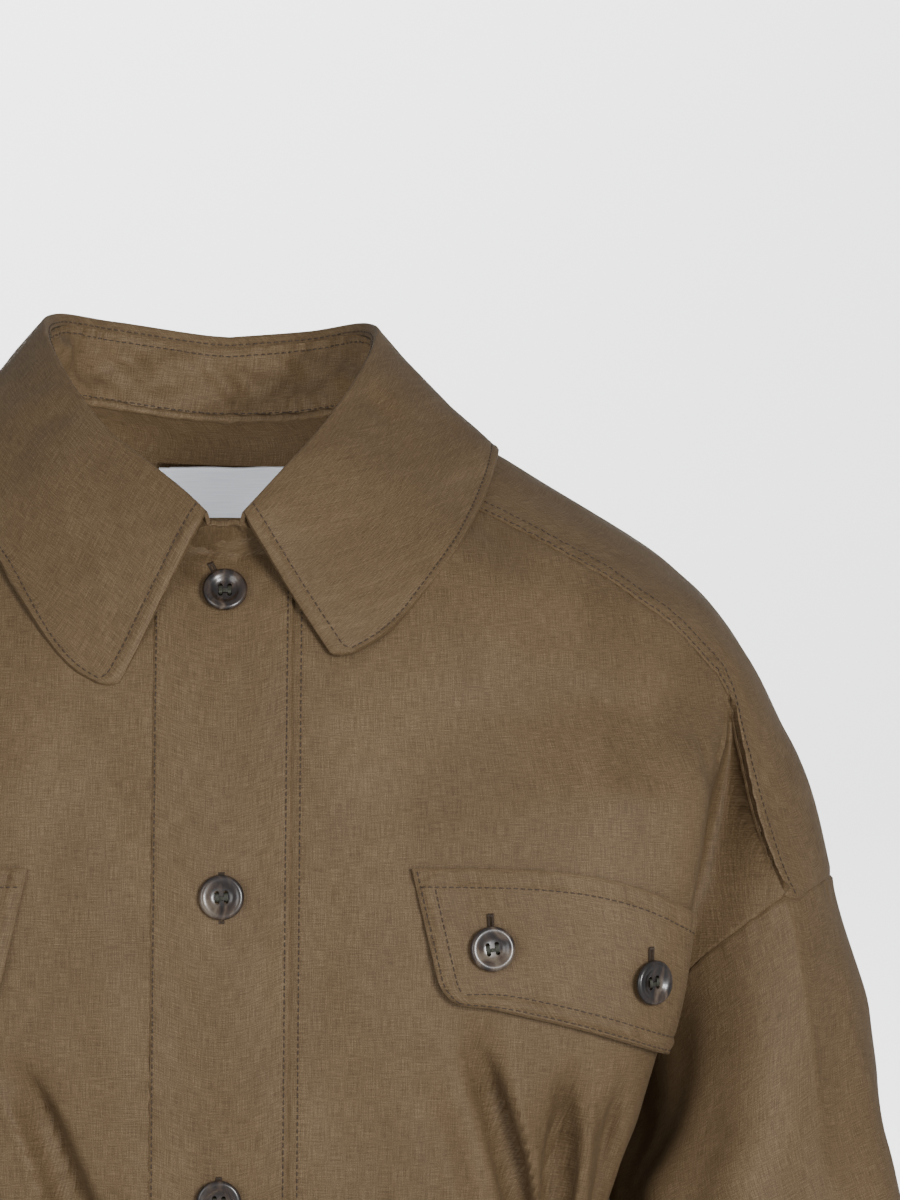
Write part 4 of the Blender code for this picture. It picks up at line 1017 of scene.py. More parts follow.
def bandBase(first, last, lift, top=0.0):
    # the fronts' depth, moved out or in. With a top it runs on over the end of the stand and gets narrower.
    start = body["neckFront"] + 1 - top
    x, share = np.meshgrid(first + (last - first) * spaced(last - first), spaced(376))
    drop = start + (body["waist"] - start) * share
    x = x * (1 - 0.55 * smooth((body["neckFront"] + 2 - drop) / 10)) if top else x
    rise = placketRise(drop) if top else 0
    depth = panelDepth(x, np.maximum(drop, body["neckFront"]), False, 1) + lift + rise
    return leaning(np.stack([x, -depth, -drop], -1))


def placketPiece():
    def detail(edges):
        sides = turnedEdge(edges["left"], 2.0, 1.35) + turnedEdge(edges["right"], 1.2, 1.0)
        sewn = rows(bands["seamRow"])(edges["left"]) + rows(bands["freeRow"])(edges["right"])
        puckers = pucker(edges["left"], edges["down"], 91, 6, 0.16, 8) + pucker(
            edges["right"], edges["down"], 92, 6, 0.12, 10)
        fade = smooth(nearest(edges, "left", "right") / 14)
        point = edges["point"]
        broad = 0.5 * waves(point * (1, 1, 0.8), 52, 93) + 0.12 * waves(point, 16, 94)
        head = turnedEdge(edges["top"], 1.0, 0.8) + rows(1.7)(edges["top"])
        return sides + sewn + puckers + broad * fade + neckCreases(point) + head

    base = bandBase(-bands["half"], bands["half"] - 1, bands["lift"], bands["top"])
    return clothPiece("placket_cloth", "placket", base, (0, 0, -250), detail, thick=bands["thick"])


def neckCreases(point):  # short folds that run from under the collar to the top buttonhole
    total = np.zeros(point.shape[:-1])
    for x, z, turn, length, width, depth in (
        (-8, -45, -0.75, 8, 1.9, -1.1), (-10, -50, -0.5, 9, 1.5, 0.8), (-13, -54, -0.35, 8, 2.0, -1.0),
        (7, -44, 0.6, 9, 1.8, 0.7), (10, -48, 0.35, 9, 2.2, -1.0), (0, -41, 0.1, 8, 1.6, -0.6),
        (16, -62, 1.0, 9, 2.6, -0.9), (12, -58, 0.8, 8, 1.8, 0.5), (-17, -66, -1.1, 10, 2.8, -0.8),
        (-4, -50, -1.0, 6, 1.3, -0.6), (18, -76, 1.3, 10, 2.6, -0.4),
    ):
        dx, dz = point[..., 0] - x, point[..., 2] - z
        ahead = dx * math.cos(turn) + dz * math.sin(turn)
        aside = dz * math.cos(turn) - dx * math.sin(turn)
        total += depth * np.exp(-((ahead / length) ** 2) - (aside / width) ** 2)
    return total


placketCloth = placketPiece()
clothPiece(
    "button_band_cloth", "button_band", bandBase(2 - bands["half"], body["bandSeam"] - 0.2, -bands["depth"]),
    (0, 0, -250), lambda edges: turnedEdge(nearest(edges, "left", "right"), 1.0, 0.8),
    thick=bands["thick"],
)
print("bands made")


# chest flaps
flap = {
    "innerX": {1: 78.0, -1: 82.0},
    "top": 179.0,
    "slope": 19.0,
    "foot": 235.0,
    "outerFoot": 255.0,
    "slant": 13.0,
    "corner": 10.0,
    "gap": 0.8,
    "crowding": 1.15,  # draws the points together at the inner end
    "lift": 3.4,
    "thick": 2.1,
    "topRow": 8.0,
    "edgeRow": 1.9,
    "footRow": 7.8,
    # share across and drop of the buttons
    "buttons": ((0.121, 212.5), (0.645, 226)),
    "turn": 0.15,
    "lean": (0.05, 0.28),  # how far each button leans outwards
}


def flapPoint(u, v, side):  # x and drop: u from the inner end to the armpit fold, v from the top seam down
    share = np.sin(np.pi / 2 * u) ** 0.85
    top = flap["top"] + flap["slope"] * share**3.6
    foot = flap["foot"] + (flap["outerFoot"] - flap["foot"]) * share**1.3
    drop = top + (foot - top) * v
    rounding = flap["corner"] * (1 - np.sqrt(1 - np.clip((v - 0.82) / 0.19, 0, 0.95) ** 2))
    start = flap["innerX"][side] + flap["slant"] * v
    end = along(body["foldEdge"], drop)[0] - 0.4
    return start + rounding * (1 - smooth(share / 0.4)) + (end - start) * share, drop


def flapBase(u, v, side):  # the front's own surface under it, moved out by the lift and the cloth
    x, drop = flapPoint(u, v, side)
    ground = np.stack([x, -panelDepth(x, drop, False, side), -drop], -1)
    normals = gridNormals(ground)
    normals *= -np.sign(normals[..., 1:2].mean())
    out = flap["gap"] + flap["thick"] + flap["lift"] * v[..., None] ** 2
    return ground + out * normals


def flapPiece(side):
    u, v = np.meshgrid(spaced(112) ** flap["crowding"], spaced(62))
    base = flapBase(u, v, side) * (side, 1, 1)

    def detail(edges):
        ends = nearest(edges, "left", "right")
        border = np.minimum(np.minimum(edges["bottom"], ends), edges["top"] + 0.2)
        edge = turnedEdge(border, 1.1, 1.0)
        lower = nearest(edges, "left", "bottom")
        sewn = 1.6 * rows(flap["topRow"])(edges["top"]) + 1.6 * rows(flap["edgeRow"], flap["footRow"])(lower)
        puckers = pucker(lower, edges["across"] + edges["down"], 101 + side, 9, 0.22, 9)
        puckers = puckers + pucker(edges["top"] - 4, edges["across"], 103 + side, 6, 0.2, 8)
        hems = 0.6 * np.exp(-(((lower - 4.8) / 2.2) ** 2))
        hems = hems + 0.35 * np.exp(-(((edges["top"] - 4.2) / 2.6) ** 2))
        sewn = sewn + hems
        fade = smooth(border / 10)
        point = edges["point"]
        wavy = 0.5 * ripple(edges["across"], 75, 106 + side) * smooth(edges["down"] / 55)
        return edge + sewn + puckers + wavy + (0.3 * waves(point, 30, 105 + side)) * fade

    name = "left" if side > 0 else "right"
    return clothPiece("flap_" + name + "_cloth", "flap_" + name, base, (0, 0, -220), detail,
                      thick=flap["thick"])


flaps = {side: flapPiece(side) for side in (1, -1)}
print("flaps made")


# waistband and cuffs
edging = {
    "waistLap": 1.5,
    "thick": 2.0,
    "row": 1.8,
}


def waistbandPiece():
    # the fronts' and the back's lower edges in one run, with an end lapped over the other at the front
    side = fineLine(panelPoint(np.linspace(0, 1, 160), np.ones(160), False, 1), 3.8)
    behind = fineLine(panelPoint(np.linspace(0, 1, 160), np.ones(160), True, 1), 3.8)
    ring = np.concatenate([side, behind[::-1][1:], behind[1:] * (-1, 1, 1), side[::-1][1:] * (-1, 1, 1)])
    tab = np.linspace(2 - bands["half"], body["bandSeam"], 30)[:-1]
    left = np.stack([tab, np.full(29, ring[0, 1]), np.full(29, ring[0, 2])], 1)
    right = left[::-1] * (-1, 1, 1)
    lap = np.zeros(len(ring) + 58)
    lap[:29], lap[-29:] = -edging["waistLap"], edging["waistLap"]
    lap = np.convolve(np.pad(lap, 3, mode="edge"), np.ones(7) / 7, "valid")
    path = np.concatenate([left, ring, right])
    v = spaced(body["hem"] - body["waist"])[:, None]
    drop = body["waist"] + 0.15 + (body["hem"] - body["waist"] - 0.15) * v
    scale = 1 - 0.002 * v
    base = np.stack([path[None, :, 0] * scale, path[None, :, 1] * scale, -drop + 0 * path[None, :, 0]], -1)
    outward = base * (1, 1, 0)
    base = base + lap[None, :, None] * outward / np.linalg.norm(outward, axis=-1, keepdims=True)
    base = base[:, ::-1]

    def detail(edges):
        near = nearest(edges, "top", "bottom", "left", "right")
        puckers = pucker(edges["top"], edges["across"], 111, 12, 0.4, 9) + pucker(
            edges["bottom"], edges["across"], 112, 7, 0.2, 9)
        return turnedEdge(near, 1.2, 0.9) + rows(edging["row"])(near) + puckers * smooth(near / 2) + (
            0.35 * waves(edges["point"], 40, 113) * smooth(near / 10))

    return clothPiece("waistband_cloth", "waistband", base, (0, 0, -447), detail, thick=edging["thick"])


def fineLine(points, step):  # the line's points spread evenly
    run = np.concatenate([[0], np.cumsum(np.linalg.norm(np.diff(points, axis=0), axis=1))])
    even = np.linspace(0, run[-1], int(run[-1] / step) + 1)
    return np.stack([np.interp(even, run, points[:, k]) for k in range(3)], 1)


def cuffPiece(side):
    # the sleeve's last ring, moved down and narrowed as the sleeve is
    ring = sleevePoint(armholeRing(), np.ones((1, 1)))[0][0]
    v = spaced(body["cuffEnd"] - body["wrist"])[:, None]
    drop = body["wrist"] + 0.15 + (body["cuffEnd"] - body["wrist"]) * v
    startX, startY, startWidth, _ = along(body["sleeve"], np.array(body["wrist"]))
    x, y, width, _ = along(body["sleeve"], drop)
    scale = width / startWidth
    base = np.stack([(ring[None, :, 0] - startX) * scale + x, (ring[None, :, 1] - startY) * scale + y,
                     -drop + 0 * ring[None, :, 0]], -1) * (side, 1, 1)

    def detail(edges):
        near = nearest(edges, "top", "bottom")
        puckers = pucker(edges["top"], edges["across"], 121, 8, 0.3, 9) + pucker(
            edges["bottom"], edges["across"], 122, 6, 0.18, 9)
        return turnedEdge(near, 1.2, 0.9) + rows(edging["row"])(near) + puckers * smooth(near / 2)

    name = "left" if side > 0 else "right"
    return clothPiece("cuff_" + name + "_cloth", "cuff_" + name, base, base.mean(1, keepdims=True), detail,
                      wrap=True, thick=edging["thick"])


waistCloth = waistbandPiece()
cuffs = {side: cuffPiece(side) for side in (1, -1)}
print("waistband and cuffs made")


# label
label = {"width": 61.0, "height": 22.0, "thick": 0.8, "drop": 8.5, "gap": 2.3, "wall": 1.6}


def labelLookOf():  # satin ribbon: fine ribs across it, seen as small changes of tone and relief
    look, tree, shader = newLook("labelSatin")
    uv = addNode(tree, "ShaderNodeUVMap", uv_map="cloth")
    place = addNode(tree, "ShaderNodeMapping", {"Vector": (uv, "UV"), "Scale": (60, 2600, 1)})
    ribs = addNode(tree, "ShaderNodeTexNoise", {"Vector": (place, "Vector"), "Scale": 1.0, "Detail": 2.0})
    ramp = rampOf(tree, (ribs, "Fac"), [(0.3, (0.70, 0.74, 0.80)), (0.7, (0.84, 0.87, 0.92))])
    tree.links.new(ramp.outputs["Color"], shader.inputs["Base Color"])
    addRelief(tree, shader, (ribs, "Fac"), 0.0001, 0.4)
    shader.inputs["Roughness"].default_value = 0.38
    return look


def labelPiece():
    half = label["width"] / 2
    x, drop = np.meshgrid(np.linspace(-half, half, 60), label["drop"] + np.linspace(0, label["height"], 24))
    ground = np.stack([x, shellDepth(x, drop, 1), -drop], -1)
    normals = gridNormals(ground)
    normals *= np.sign(normals[..., 1:2].mean())
    base = ground - normals * (label["wall"] + label["gap"])

    def detail(edges):
        ends = nearest(edges, "left", "right")
        fold = 0.45 * smooth((5.2 - ends) / 0.8)  # the ends are folded under
        edge = turnedEdge(np.minimum(ends, nearest(edges, "top", "bottom")), 0.5, 0.3)
        return fold + edge + 0.25 * waves(edges["point"], 26, 131)

    return clothPiece("label_cloth", "label", base, (0, 400, -20), detail, thick=label["thick"],
                      look=labelLookOf())


labelPiece()
print("label made")


# binding rolled over the seam inside the back of the neck
binding = {"radius": 1.9, "thick": 0.8, "reach": 0.74, "row": 1.2}


def bindingPiece():
    # half a tube along the neck seam, its round side towards the neck and its edges run on straight
    c = np.linspace(-binding["reach"], binding["reach"], 200)
    seam = mirrorAcross(lambda at: collarLines(at)[0], c)
    outward = mirrorAcross(lambda at: collarLines(at)[3], c)
    run = np.linspace(-3.1, 2.8, 26)[:, None, None]
    turn = np.clip(run, -1.9, 1.7)
    inward, up = np.cos(turn) - (run - turn) * np.sin(turn), np.sin(turn) + (run - turn) * np.cos(turn)
    middle = seam[None] - 0.9 * outward[None] + (0, 0, 0.2)
    base = middle + binding["radius"] * (-inward * outward[None] + up * np.array([0, 0, 1.0]))

    def detail(edges):
        return 0.18 * ripple(edges["across"], 9, 141) + 0.12 * waves(edges["point"], 14, 142)

    return clothPiece("neck_binding", None, widened(base)[::-1], widened(middle), detail,
                      thick=binding["thick"])


bindingPiece()


# stitches
def pill(sides=5):  # one stitch along x: its ends go down into the cloth
    place = np.array([-0.5, -0.36, 0.0, 0.36, 0.5])
    height = np.array([-0.30, 0.06, 0.14, 0.06, -0.30])
    radius = np.array([0.55, 0.9, 1.0, 0.9, 0.55])
    turn = np.arange(sides) / sides * 2 * np.pi
    y = radius[:, None] * np.cos(turn) * stitching["radius"]
    z = radius[:, None] * np.sin(turn) * stitching["radius"] + height[:, None]
    points = np.stack([np.broadcast_to(place[:, None], y.shape), y, z], -1).reshape(-1, 3)
    quads = gridFaces(5, sides, True)
    return points, [quads[:, ::-1], np.arange(sides)[None, ::-1], (np.arange(sides) + 4 * sides)[None]]


def stamp(template, place, ahead, up, scale):  # the template copied to each place, x along ahead, z along up
    points, faces = template
    ahead = ahead / np.linalg.norm(ahead, axis=-1, keepdims=True)
    aside = np.cross(up, ahead)
    aside /= np.linalg.norm(aside, axis=-1, keepdims=True)
    up = np.cross(ahead, aside)
    scale = np.broadcast_to(np.asarray(scale, float), (len(place), 3))
    local = points[None] * scale[:, None]
    axes = np.stack([ahead, aside, up], 1)
    world = place[:, None] + np.einsum("nij,njk->nik", local, axes)
    shift = np.arange(len(place)) * len(points)
    made = [(group[None] + shift[:, None, None]).reshape(-1, group.shape[1]) for group in faces]
    return world.reshape(-1, 3), made


def edgeLine(sheet, edge, inset, tuck=0.0):
    # where the distance from that edge reaches the inset, on every row or column of the outer face
    axis = 0 if edge in ("top", "bottom") else 1
    run = sheet["down" if axis == 0 else "across"]
    last = np.take(run, [-1], axis)
    distance = run if edge in ("top", "left") else last - run
    if edge in ("bottom", "right"):
        distance = np.flip(distance, axis)
    want = inset + tuck
    at = np.clip((distance < want).sum(axis), 1, distance.shape[axis] - 1)
    at = np.expand_dims(at, axis)
    before, after = np.take_along_axis(distance, at - 1, axis), np.take_along_axis(distance, at, axis)
    f = np.clip((want - before) / np.maximum(after - before, 1e-9), 0, 1)[..., None]
    result = []
    for grid in (sheet["outer"], sheet["normals"]):
        grid = np.flip(grid, axis) if edge in ("bottom", "right") else grid
        low = np.take_along_axis(grid, (at - 1)[..., None], axis)
        high = np.take_along_axis(grid, at[..., None], axis)
        result.append(np.squeeze(low + (high - low) * f, axis))
    return result


def stitchPlaces(line, first=0.0, last=0.0, pitch=None):  # middle, direction and normal of every stitch
    points, normals = line
    pitch = pitch or stitching["pitch"]
    run = np.concatenate([[0], np.cumsum(np.linalg.norm(np.diff(points, axis=0), axis=1))])
    count = max(int((run[-1] - first - last) / pitch), 1)
    middle = first + (np.arange(count) + 0.5) * (run[-1] - first - last) / count

    def at(where, values):
        return np.stack([np.interp(where, run, values[:, k]) for k in range(3)], 1)

    half = stitching["length"] / 2
    return at(middle, points), at(middle + half, points) - at(middle - half, points), at(middle, normals)


def stitchPiece(name, lines, lift=0.05, look=None):
    places = [stitchPlaces(line, *ends) for line, *ends in lines]
    middle, ahead, up = (np.concatenate(parts) for parts in zip(*places))
    up = up / np.linalg.norm(up, axis=-1, keepdims=True)
    points, faces = stamp(pill(), middle + lift * up, ahead, up, (stitching["length"], 1, 1))
    return finishPiece(meshFrom(name, points, faces, sharp=None), None, look or threadLook)


def part(line, low, high):  # a stretch of a line, by share of its points
    count = len(line[0])
    return [values[int(low * count): int(high * count) + 1] for values in line]


edgeRow, secondRow = stitching["edgeRow"], stitching["secondRow"]
yokeTop = {inset: edgeLine(yokeCloth, "top", inset) for inset in (edgeRow, secondRow)}
reach = drape["tuckUnder"]
yokeEdges = []
for inset in (edgeRow, secondRow):
    line = yokeTop[inset]
    for chosen in (line[0][:, 0] > 76, line[0][:, 0] < -76):
        yokeEdges.append(([values[chosen] for values in line], 4, 2))
    yokeEdges.append((edgeLine(yokeCloth, "bottom", inset), 2, 2))
stitchPiece("yoke_stitches", yokeEdges)
stitchPiece("collar_stitches", [
    (edgeLine(collarCloth, "bottom", collar["stitchInset"]), 6, 6),
    (part(edgeLine(collarCloth, "left", collar["stitchInset"]), 0.22, 0.93), 0, 0),
    (part(edgeLine(collarCloth, "right", collar["stitchInset"]), 0.22, 0.93), 0, 0),
    (part(edgeLine(collarCloth, "top", 1.5), 0.1, 0.9), 0, 0),
])
inside = {**standCloth, "outer": standCloth["inner"], "normals": -standCloth["normals"]}
stitchPiece("stand_stitches", [
    (part(edgeLine(inside, "top", 1.6), 0.18, 0.82), 0, 0),
    (part(edgeLine(inside, "bottom", 3.4), 0.18, 0.82), 0, 0),
])
stitchPiece("neck_stitches", [(edgeLine(placketCloth, "top", 2.1), 1, 1)], look=rustThreadLook)
stitchPiece("placket_stitches", [
    (edgeLine(placketCloth, "left", bands["seamRow"]), 14, 1),
    (edgeLine(placketCloth, "right", bands["freeRow"]), 14, 1),
    (edgeLine(fronts[1], "left", front["bandRow"], reach), 26, 1),
])
for side, name in ((1, "left"), (-1, "right")):
    inner = "left" if side > 0 else "right"
    stitchPiece("flap_" + name + "_stitches", [
        (edgeLine(flaps[side], "top", flap["topRow"]), 2, 1),
        (edgeLine(flaps[side], "bottom", flap["edgeRow"]), 1, 1),
        (edgeLine(flaps[side], "bottom", flap["footRow"]), 9, 2),
        (edgeLine(flaps[side], inner, flap["edgeRow"]), 1, 2),
        (edgeLine(flaps[side], inner, flap["footRow"]), 9, 10),
    ])
    stitchPiece("cuff_" + name + "_stitches", [
        (edgeLine(cuffs[side], "top", edging["row"]), 0, 0),
        (edgeLine(cuffs[side], "bottom", edging["row"]), 0, 0),
    ])
stitchPiece("waistband_stitches", [
    (edgeLine(waistCloth, edge, edging["row"]), 2, 2) for edge in ("top", "bottom", "left", "right")
])
print("stitches made")


# buttons
button = {
    "radius": 9.5,
    "height": 3.6,
    "hole": 0.95,
    "holeOffset": 1.9,
    "spacing": 127.0,
    "top": 64.0,
    "gap": 0.3,
    "threadRadius": 0.30,
    "holeLength": 21.0,  # buttonhole
    # turn of each front button, turn of its buttonhole and how far that one reaches above it
    "front": ((0.0, 0.45, 14.5), (0.06, 0.0, 10.2), (-0.05, 0.0, 10.2)),
    # turned profile: share of the radius, height
    "profile": (
        (0, 1.75), (0.30, 1.78), (0.42, 1.95), (0.52, 2.35), (0.60, 2.85), (0.68, 3.25), (0.76, 3.5),
        (0.84, 3.58), (0.91, 3.42), (0.965, 3.0), (0.995, 2.45), (1.0, 1.9), (0.97, 1.3), (0.90, 0.75),
        (0.80, 0.35), (0.66, 0.1), (0.5, 0), (0, 0),
    ),
}


def hornLookOf():
    # dark horn: stretched and twisted noise between near black and smoky brown, under a clear gloss
    look, tree, shader = newLook("darkHorn")
    place = addNode(tree, "ShaderNodeTexCoord")
    spread = addNode(tree, "ShaderNodeMapping", {"Vector": (place, "Object"), "Scale": (95, 95, 42),
                                                 "Rotation": (0.3, 0.5, 0.4)})
    cloud = addNode(tree, "ShaderNodeTexNoise", {"Vector": (spread, "Vector"), "Scale": 1.0, "Detail": 4.0,
                                                 "Roughness": 0.55, "Distortion": 1.4})
    ramp = rampOf(tree, (cloud, "Fac"), [
        (0.34, (0.004, 0.003, 0.002)), (0.47, (0.014, 0.009, 0.007)), (0.56, (0.045, 0.028, 0.018)),
        (0.68, (0.120, 0.092, 0.064)),
    ])
    tree.links.new(ramp.outputs["Color"], shader.inputs["Base Color"])
    scratch = addNode(tree, "ShaderNodeTexNoise", {
        "Vector": (place, "Object"), "Scale": 900.0, "Detail": 2.0})
    rough = addNode(tree, "ShaderNodeMapRange", {"Value": (scratch, "Fac"), "To Min": 0.24, "To Max": 0.40})
    tree.links.new(rough.outputs["Result"], shader.inputs["Roughness"])
    shader.inputs["Coat Weight"].default_value = 0.35
    shader.inputs["Coat Roughness"].default_value = 0.12
    return look


hornLook = hornLookOf()


def turned(profile, sides):  # profile carried round the z axis, with one point at each pole
    radius, height = np.array(profile[1:-1]).T
    turn = np.arange(sides) / sides * 2 * np.pi
    ring = np.stack([radius[:, None] * np.cos(turn), radius[:, None] * np.sin(turn),
                     np.broadcast_to(height[:, None], (len(radius), sides))], -1).reshape(-1, 3)
    points = np.concatenate([ring, [[0, 0, profile[0][1]], [0, 0, profile[-1][1]]]])
    quads = gridFaces(len(radius), sides, True)
    k = np.arange(sides)
    first = np.stack([k, (k + 1) % sides, np.full(sides, len(ring))], 1)
    base = (len(radius) - 1) * sides
    last = np.stack([base + (k + 1) % sides, base + k, np.full(sides, len(ring) + 1)], 1)
    return points, [quads, first, last]


def drilledButton():  # the turned button less four round holes, cut once and used for every button
    profile = np.array(button["profile"], float)
    line = np.linspace(0, len(profile) - 1, 46)
    smoothed = np.stack([np.interp(line, np.arange(len(profile)), profile[:, k]) for k in range(2)], 1)
    smoothed[1:-1] = (smoothed[:-2] + 2 * smoothed[1:-1] + smoothed[2:]) / 4
    smoothed[:, 0] *= button["radius"]
    points, faces = turned(smoothed, 56)
    blank = meshFrom("blank", points, outwards(points, faces), sharp=None)
    pins = []
    for x in (-1, 1):
        for y in (-1, 1):
            post = np.array([(0, 6), (button["hole"], 6), (button["hole"], -2), (0, -2)], float)
            pinPoints, pinFaces = turned(post, 16)
            pinPoints = pinPoints + (x * button["holeOffset"], y * button["holeOffset"], 0)
            pins.append((pinPoints, outwards(pinPoints, pinFaces)))
    count, pinPoints, pinFaces = 0, [], []
    for points, faces in pins:
        pinPoints.append(points)
        pinFaces += [group + count for group in faces]
        count += len(points)
    cutter = meshFrom("pins", np.concatenate(pinPoints), pinFaces, sharp=None)
    cut = blank.modifiers.new("holes", "BOOLEAN")
    cut.operation, cut.solver, cut.object = "DIFFERENCE", "EXACT", cutter
    shape = bpy.data.meshes.new_from_object(blank.evaluated_get(bpy.context.evaluated_depsgraph_get()))
    for used in (blank, cutter):
        bpy.data.objects.remove(used)
    return shape


def placing(centre, normal, turn):  # 3 axes as rows: the button's x, its y, as upright as can be, and normal
    normal = np.array(normal, float) / np.linalg.norm(normal)
    x = np.cross((0, 0, 1), normal)
    x /= np.linalg.norm(x)
    y = np.cross(normal, x)
    x, y = math.cos(turn) * x + math.sin(turn) * y, math.cos(turn) * y - math.sin(turn) * x
    return np.array(centre, float), np.stack([x, y, normal])


buttonShape = drilledButton()
buttonCoords = np.empty(len(buttonShape.vertices) * 3, np.float32)
buttonShape.vertices.foreach_get("co", buttonCoords)
buttonCoords = buttonCoords.reshape(-1, 3)


def strand(path, radius, sides=6):  # a tube along a short path in the button's own axes
    path = np.asarray(path, float)
    ahead = np.gradient(path, axis=0)
    ahead /= np.linalg.norm(ahead, axis=1, keepdims=True)
    aside = np.cross(ahead, (0, 0, 1))
    aside /= np.maximum(np.linalg.norm(aside, axis=1, keepdims=True), 1e-6)
    up = np.cross(aside, ahead)
    turn = np.arange(sides) / sides * 2 * np.pi
    ring = np.cos(turn)[None, :, None] * aside[:, None] + np.sin(turn)[None, :, None] * up[:, None]
    points = path[:, None] + radius * ring
    count = len(path)
    return points.reshape(-1, 3), [gridFaces(count, sides, True)[:, ::-1], np.arange(sides)[None, ::-1],
                                   (np.arange(sides) + (count - 1) * sides)[None]]


def joined(parts):  # several point and face lists as one
    points, faces, count = [], [], 0
    for some, groups in parts:
        points.append(some)
        faces += [group + count for group in groups]
        count += len(some)
    return np.concatenate(points), faces


def buttonThreads():
    # strands over the bridges between the holes: two uprights and a crossbar, three strands in each
    o, parts = button["holeOffset"], []
    share = np.linspace(-1, 1, 9)
    bow = 1.78 + 0.55 * np.sqrt(np.clip(1 - share**2, 0, 1)) - 1.6 * (np.abs(share) > 0.99)
    for k, offset in enumerate((-0.5, 0.0, 0.5)):
        for x in (-o, o):
            upright = np.stack([x + offset * (1 - 0.3 * share**2), share * o, bow + 0.05 * k], 1)
            parts.append(strand(upright, button["threadRadius"]))
        bar = np.stack([share * o, offset - 0.25 * o + 0 * share, bow - 0.1 + 0.05 * k], 1)
        parts.append(strand(bar, button["threadRadius"]))
    return joined(parts)


def buttonhole(length):
    # two rows of close cross stitches along y, a slit between them and a bar across each end
    pitch = 0.46
    y = np.arange(0.8, length - 0.8, pitch)
    parts = []
    for side in (-1, 1):
        place = np.stack([np.full(len(y), side * 0.78), y, np.full(len(y), 0.05)], 1)
        ahead = np.broadcast_to((1.0, 0.12 * side, 0.0), place.shape)
        up = np.broadcast_to((0.0, 0.0, 1.0), place.shape)
        parts.append(stamp(pill(4), place, ahead, up, (1.35, 0.86, 1.1)))
    for end in (0.4, length - 0.4):
        x = np.arange(-1.1, 1.11, 0.44)
        place = np.stack([x, np.full(len(x), end), np.full(len(x), 0.12)], 1)
        parts.append(stamp(pill(4), place, np.broadcast_to((0.05, 1.0, 0.0), place.shape),
                           np.broadcast_to((0.0, 0.0, 1.0), place.shape), (1.7, 0.9, 1.1)))
    return joined(parts)


def addButton(node, centre, normal, turn, holeTurn=0.0, ground=None, holeUp=15.5):
    centre, axes = placing(centre, normal, turn)
    mesh = buttonShape.copy()
    mesh.name = node + "_horn"
    world = (buttonCoords @ axes) + centre / 1000
    mesh.vertices.foreach_set("co", world.astype(np.float32).ravel())
    mesh.materials.clear()
    mesh.shade_smooth()
    mesh.set_sharp_from_angle(angle=math.radians(38))
    made = bpy.data.objects.new(node + "_horn", mesh)
    bpy.context.scene.collection.objects.link(made)
    finishPiece(made, node, hornLook)
    points, faces = buttonThreads()
    thread = meshFrom(node + "_thread", points @ axes + centre, faces, sharp=None)
    finishPiece(thread, None, buttonThreadLook)
    points, faces = buttonhole(button["holeLength"])
    points = points + (0, holeUp - button["holeLength"], 0)
    _, upright = placing(centre, normal, holeTurn)
    flat = points @ upright + centre
    if ground is not None:
        flat = ground(flat, points[:, 2])
    finishPiece(meshFrom(node + "_buttonhole", flat, faces, sharp=None), None, threadLook)


def frontGround(lift):  # puts points onto the placket by their x and z
    def ground(points, height):
        drop = -points[:, 2]
        y = -panelDepth(points[:, 0], drop, False, 1) - lift - neckCreases(points) - placketRise(drop)
        return np.stack([points[:, 0], y - height, points[:, 2]], 1)
    return ground


for number in range(3):
    drop = button["top"] + number * button["spacing"]
    depths = panelDepth(np.zeros(3), drop + np.array([-3.0, 0.0, 3.0]), False, 1)
    slope = (depths[2] - depths[0]) / 6
    normal = np.array([0, -1, slope]) / math.hypot(1, slope)
    centre = leaning(np.array([[0, -depths[1], -drop]]))[0] + (bands["lift"] + button["gap"]) * normal
    turn, holeTurn, holeUp = button["front"][number]
    ground = frontGround(bands["lift"])
    addButton(f"front_button_{number + 1}", centre, normal, turn, holeTurn, ground, holeUp)
drop = (body["waist"] + body["hem"]) / 2
depth = float(panelDepth(body["bandSeam"], np.array(body["waist"]), False, 1))
depth += edging["waistLap"] + button["gap"]
addButton("waist_button", (0, -depth, -drop), (0, -1, 0), 0.0, math.pi / 2)
for side, name in ((1, "left"), (-1, "right")):
    for number, (share, buttonDrop) in enumerate(flap["buttons"]):
        top, foot = flapPoint(share, 0.0, side)[1], flapPoint(share, 1.0, side)[1]
        u = share + np.array([[-0.02, 0, 0.02]] * 3)
        v = (buttonDrop - top) / (foot - top) + np.array([[-0.02] * 3, [0] * 3, [0.02] * 3])
        patch = flapBase(u, v, side) * (side, 1, 1)
        normal = np.cross(patch[2, 1] - patch[0, 1], patch[1, 2] - patch[1, 0])
        normal *= -np.sign(normal[1]) / np.linalg.norm(normal)
        lean = flap["lean"][number] * side
        normal = np.array([normal[0] * math.cos(lean) - normal[1] * math.sin(lean),
                           normal[0] * math.sin(lean) + normal[1] * math.cos(lean), normal[2]])
        addButton(f"flap_button_{name}_{number + 1}", patch[1, 1] + button["gap"] * normal, normal,
                  side * flap["turn"], side * 0.05, holeUp=14.5)
print("buttons made")


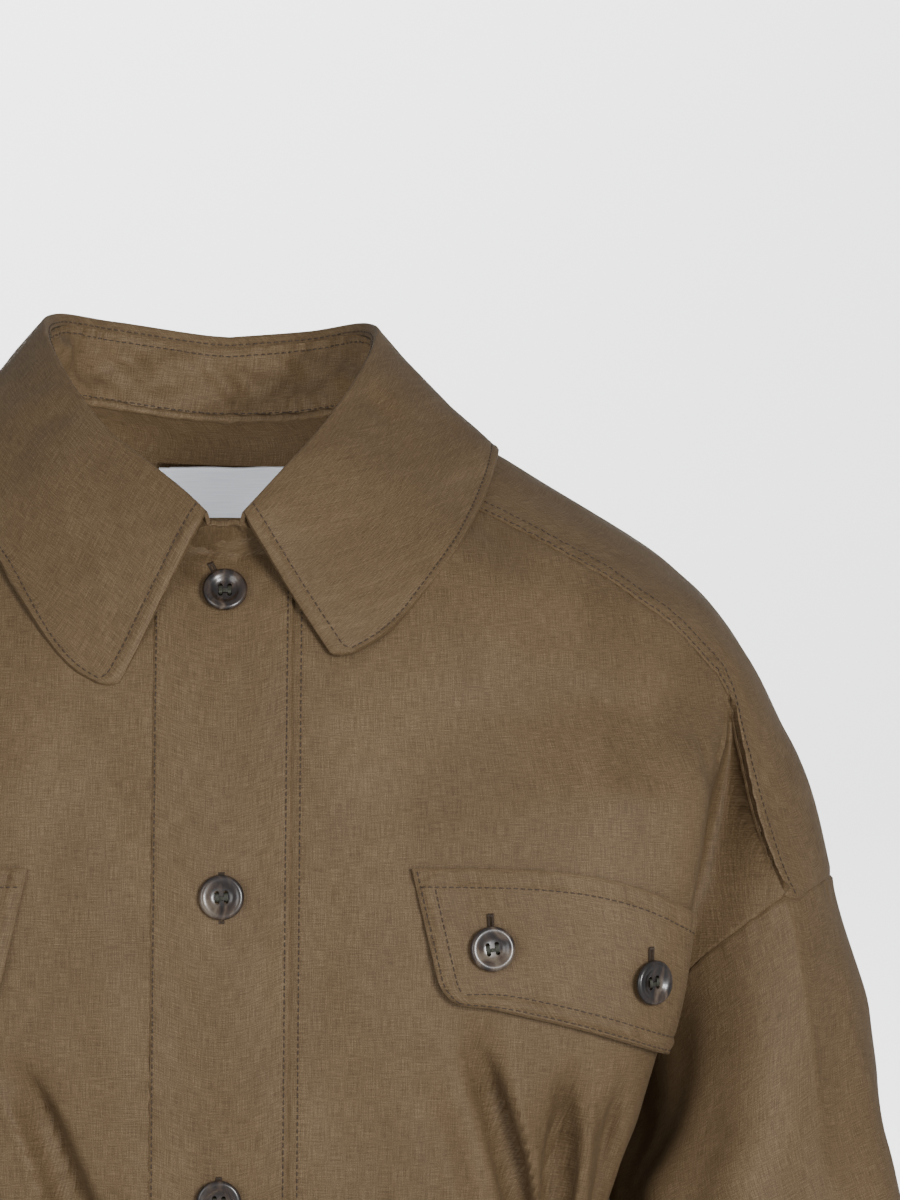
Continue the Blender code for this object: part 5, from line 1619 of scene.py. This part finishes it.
# camera, light and backdrop
studio = {
    "distance": 8.0,  # metres from the placket
    "view": (0.094, -0.067),  # centre of the picture
    "height": 0.5,  # metres that the picture spans, top to bottom
    "wall": (0.80, 0.80, 0.80),
    "reach": 17.5,  # metres that the floor goes out each way, up to the wall
    "floor": -0.76,
    "curve": 0.4,  # radius between floor and wall
    "wallTop": 9.0,
    # name, place, target, size, watts
    "lights": (
        ("key", (1.6, -3.3, 0.15), (0, 0, -0.15), (1.0, 1.0), 112),
        ("fill", (-2.0, -2.9, 0.1), (0, 0, -0.1), (1.6, 1.6), 33),
        ("neck", (0, -0.045, -0.062), (0, 0.07, -0.01), (0.1, 0.03), 0.13),
        ("wall", (-1.5, 15.3, 3.0), (0.0, 17.5, 0.6), (4.5, 1.5), 820),
    ),
    "air": (0.93, 0.95, 1.0),
    "airStrength": 0.5,
}


def addCamera():
    data = bpy.data.cameras.new("camera")
    data.sensor_fit = "VERTICAL"
    data.sensor_height = 24
    data.lens = 24 * studio["distance"] / studio["height"]
    data.clip_end = 50
    camera = bpy.data.objects.new("camera", data)
    camera.location = (studio["view"][0], -0.118 - studio["distance"], studio["view"][1])
    camera.rotation_euler = (math.pi / 2, 0, 0)
    bpy.context.scene.collection.objects.link(camera)
    bpy.context.scene.camera = camera


def addLight(name, place, target, size, power):
    data = bpy.data.lights.new(name, "AREA")
    data.shape = "RECTANGLE"
    data.size, data.size_y = size
    data.energy = power
    light = bpy.data.objects.new(name, data)
    light.location = place
    light.rotation_euler = (Vector(target) - Vector(place)).to_track_quat("-Z", "Y").to_euler()
    light.visible_camera = name != "neck"
    bpy.context.scene.collection.objects.link(light)


def addBackdrop():  # a floor that curves up into a wall: straight, quarter circle, straight
    turn = np.linspace(0, np.pi / 2, 25)
    reach, curve = studio["reach"], studio["curve"]
    y = np.concatenate([[-reach], reach - curve + curve * np.sin(turn), [reach]])
    z = np.concatenate([[0.0], curve - curve * np.cos(turn), [studio["wallTop"]]]) + studio["floor"]
    x = np.linspace(-reach, reach, 3)
    grid = np.stack([np.broadcast_to(x, (len(y), 3)), np.broadcast_to(y[:, None], (len(y), 3)),
                     np.broadcast_to(z[:, None], (len(y), 3))], -1) * 1000
    wall = meshFrom("backdrop", grid.reshape(-1, 3), [gridFaces(len(y), 3, False)], sharp=None)
    look, tree, shader = newLook("paleWall")
    shader.inputs["Base Color"].default_value = (*studio["wall"], 1)
    shader.inputs["Roughness"].default_value = 0.9
    shader.inputs["Specular IOR Level"].default_value = 0.1
    wall.data.materials.append(look)


addCamera()
for entry in studio["lights"]:
    addLight(*entry)
addBackdrop()
world = bpy.data.worlds.new("room")
world.use_nodes = True
air = world.node_tree.nodes["Background"].inputs
air["Color"].default_value = (*studio["air"], 1)
air["Strength"].default_value = studio["airStrength"]
bpy.context.scene.world = world
print("studio made")

for entry in sheets:
    print("sheet", *entry)
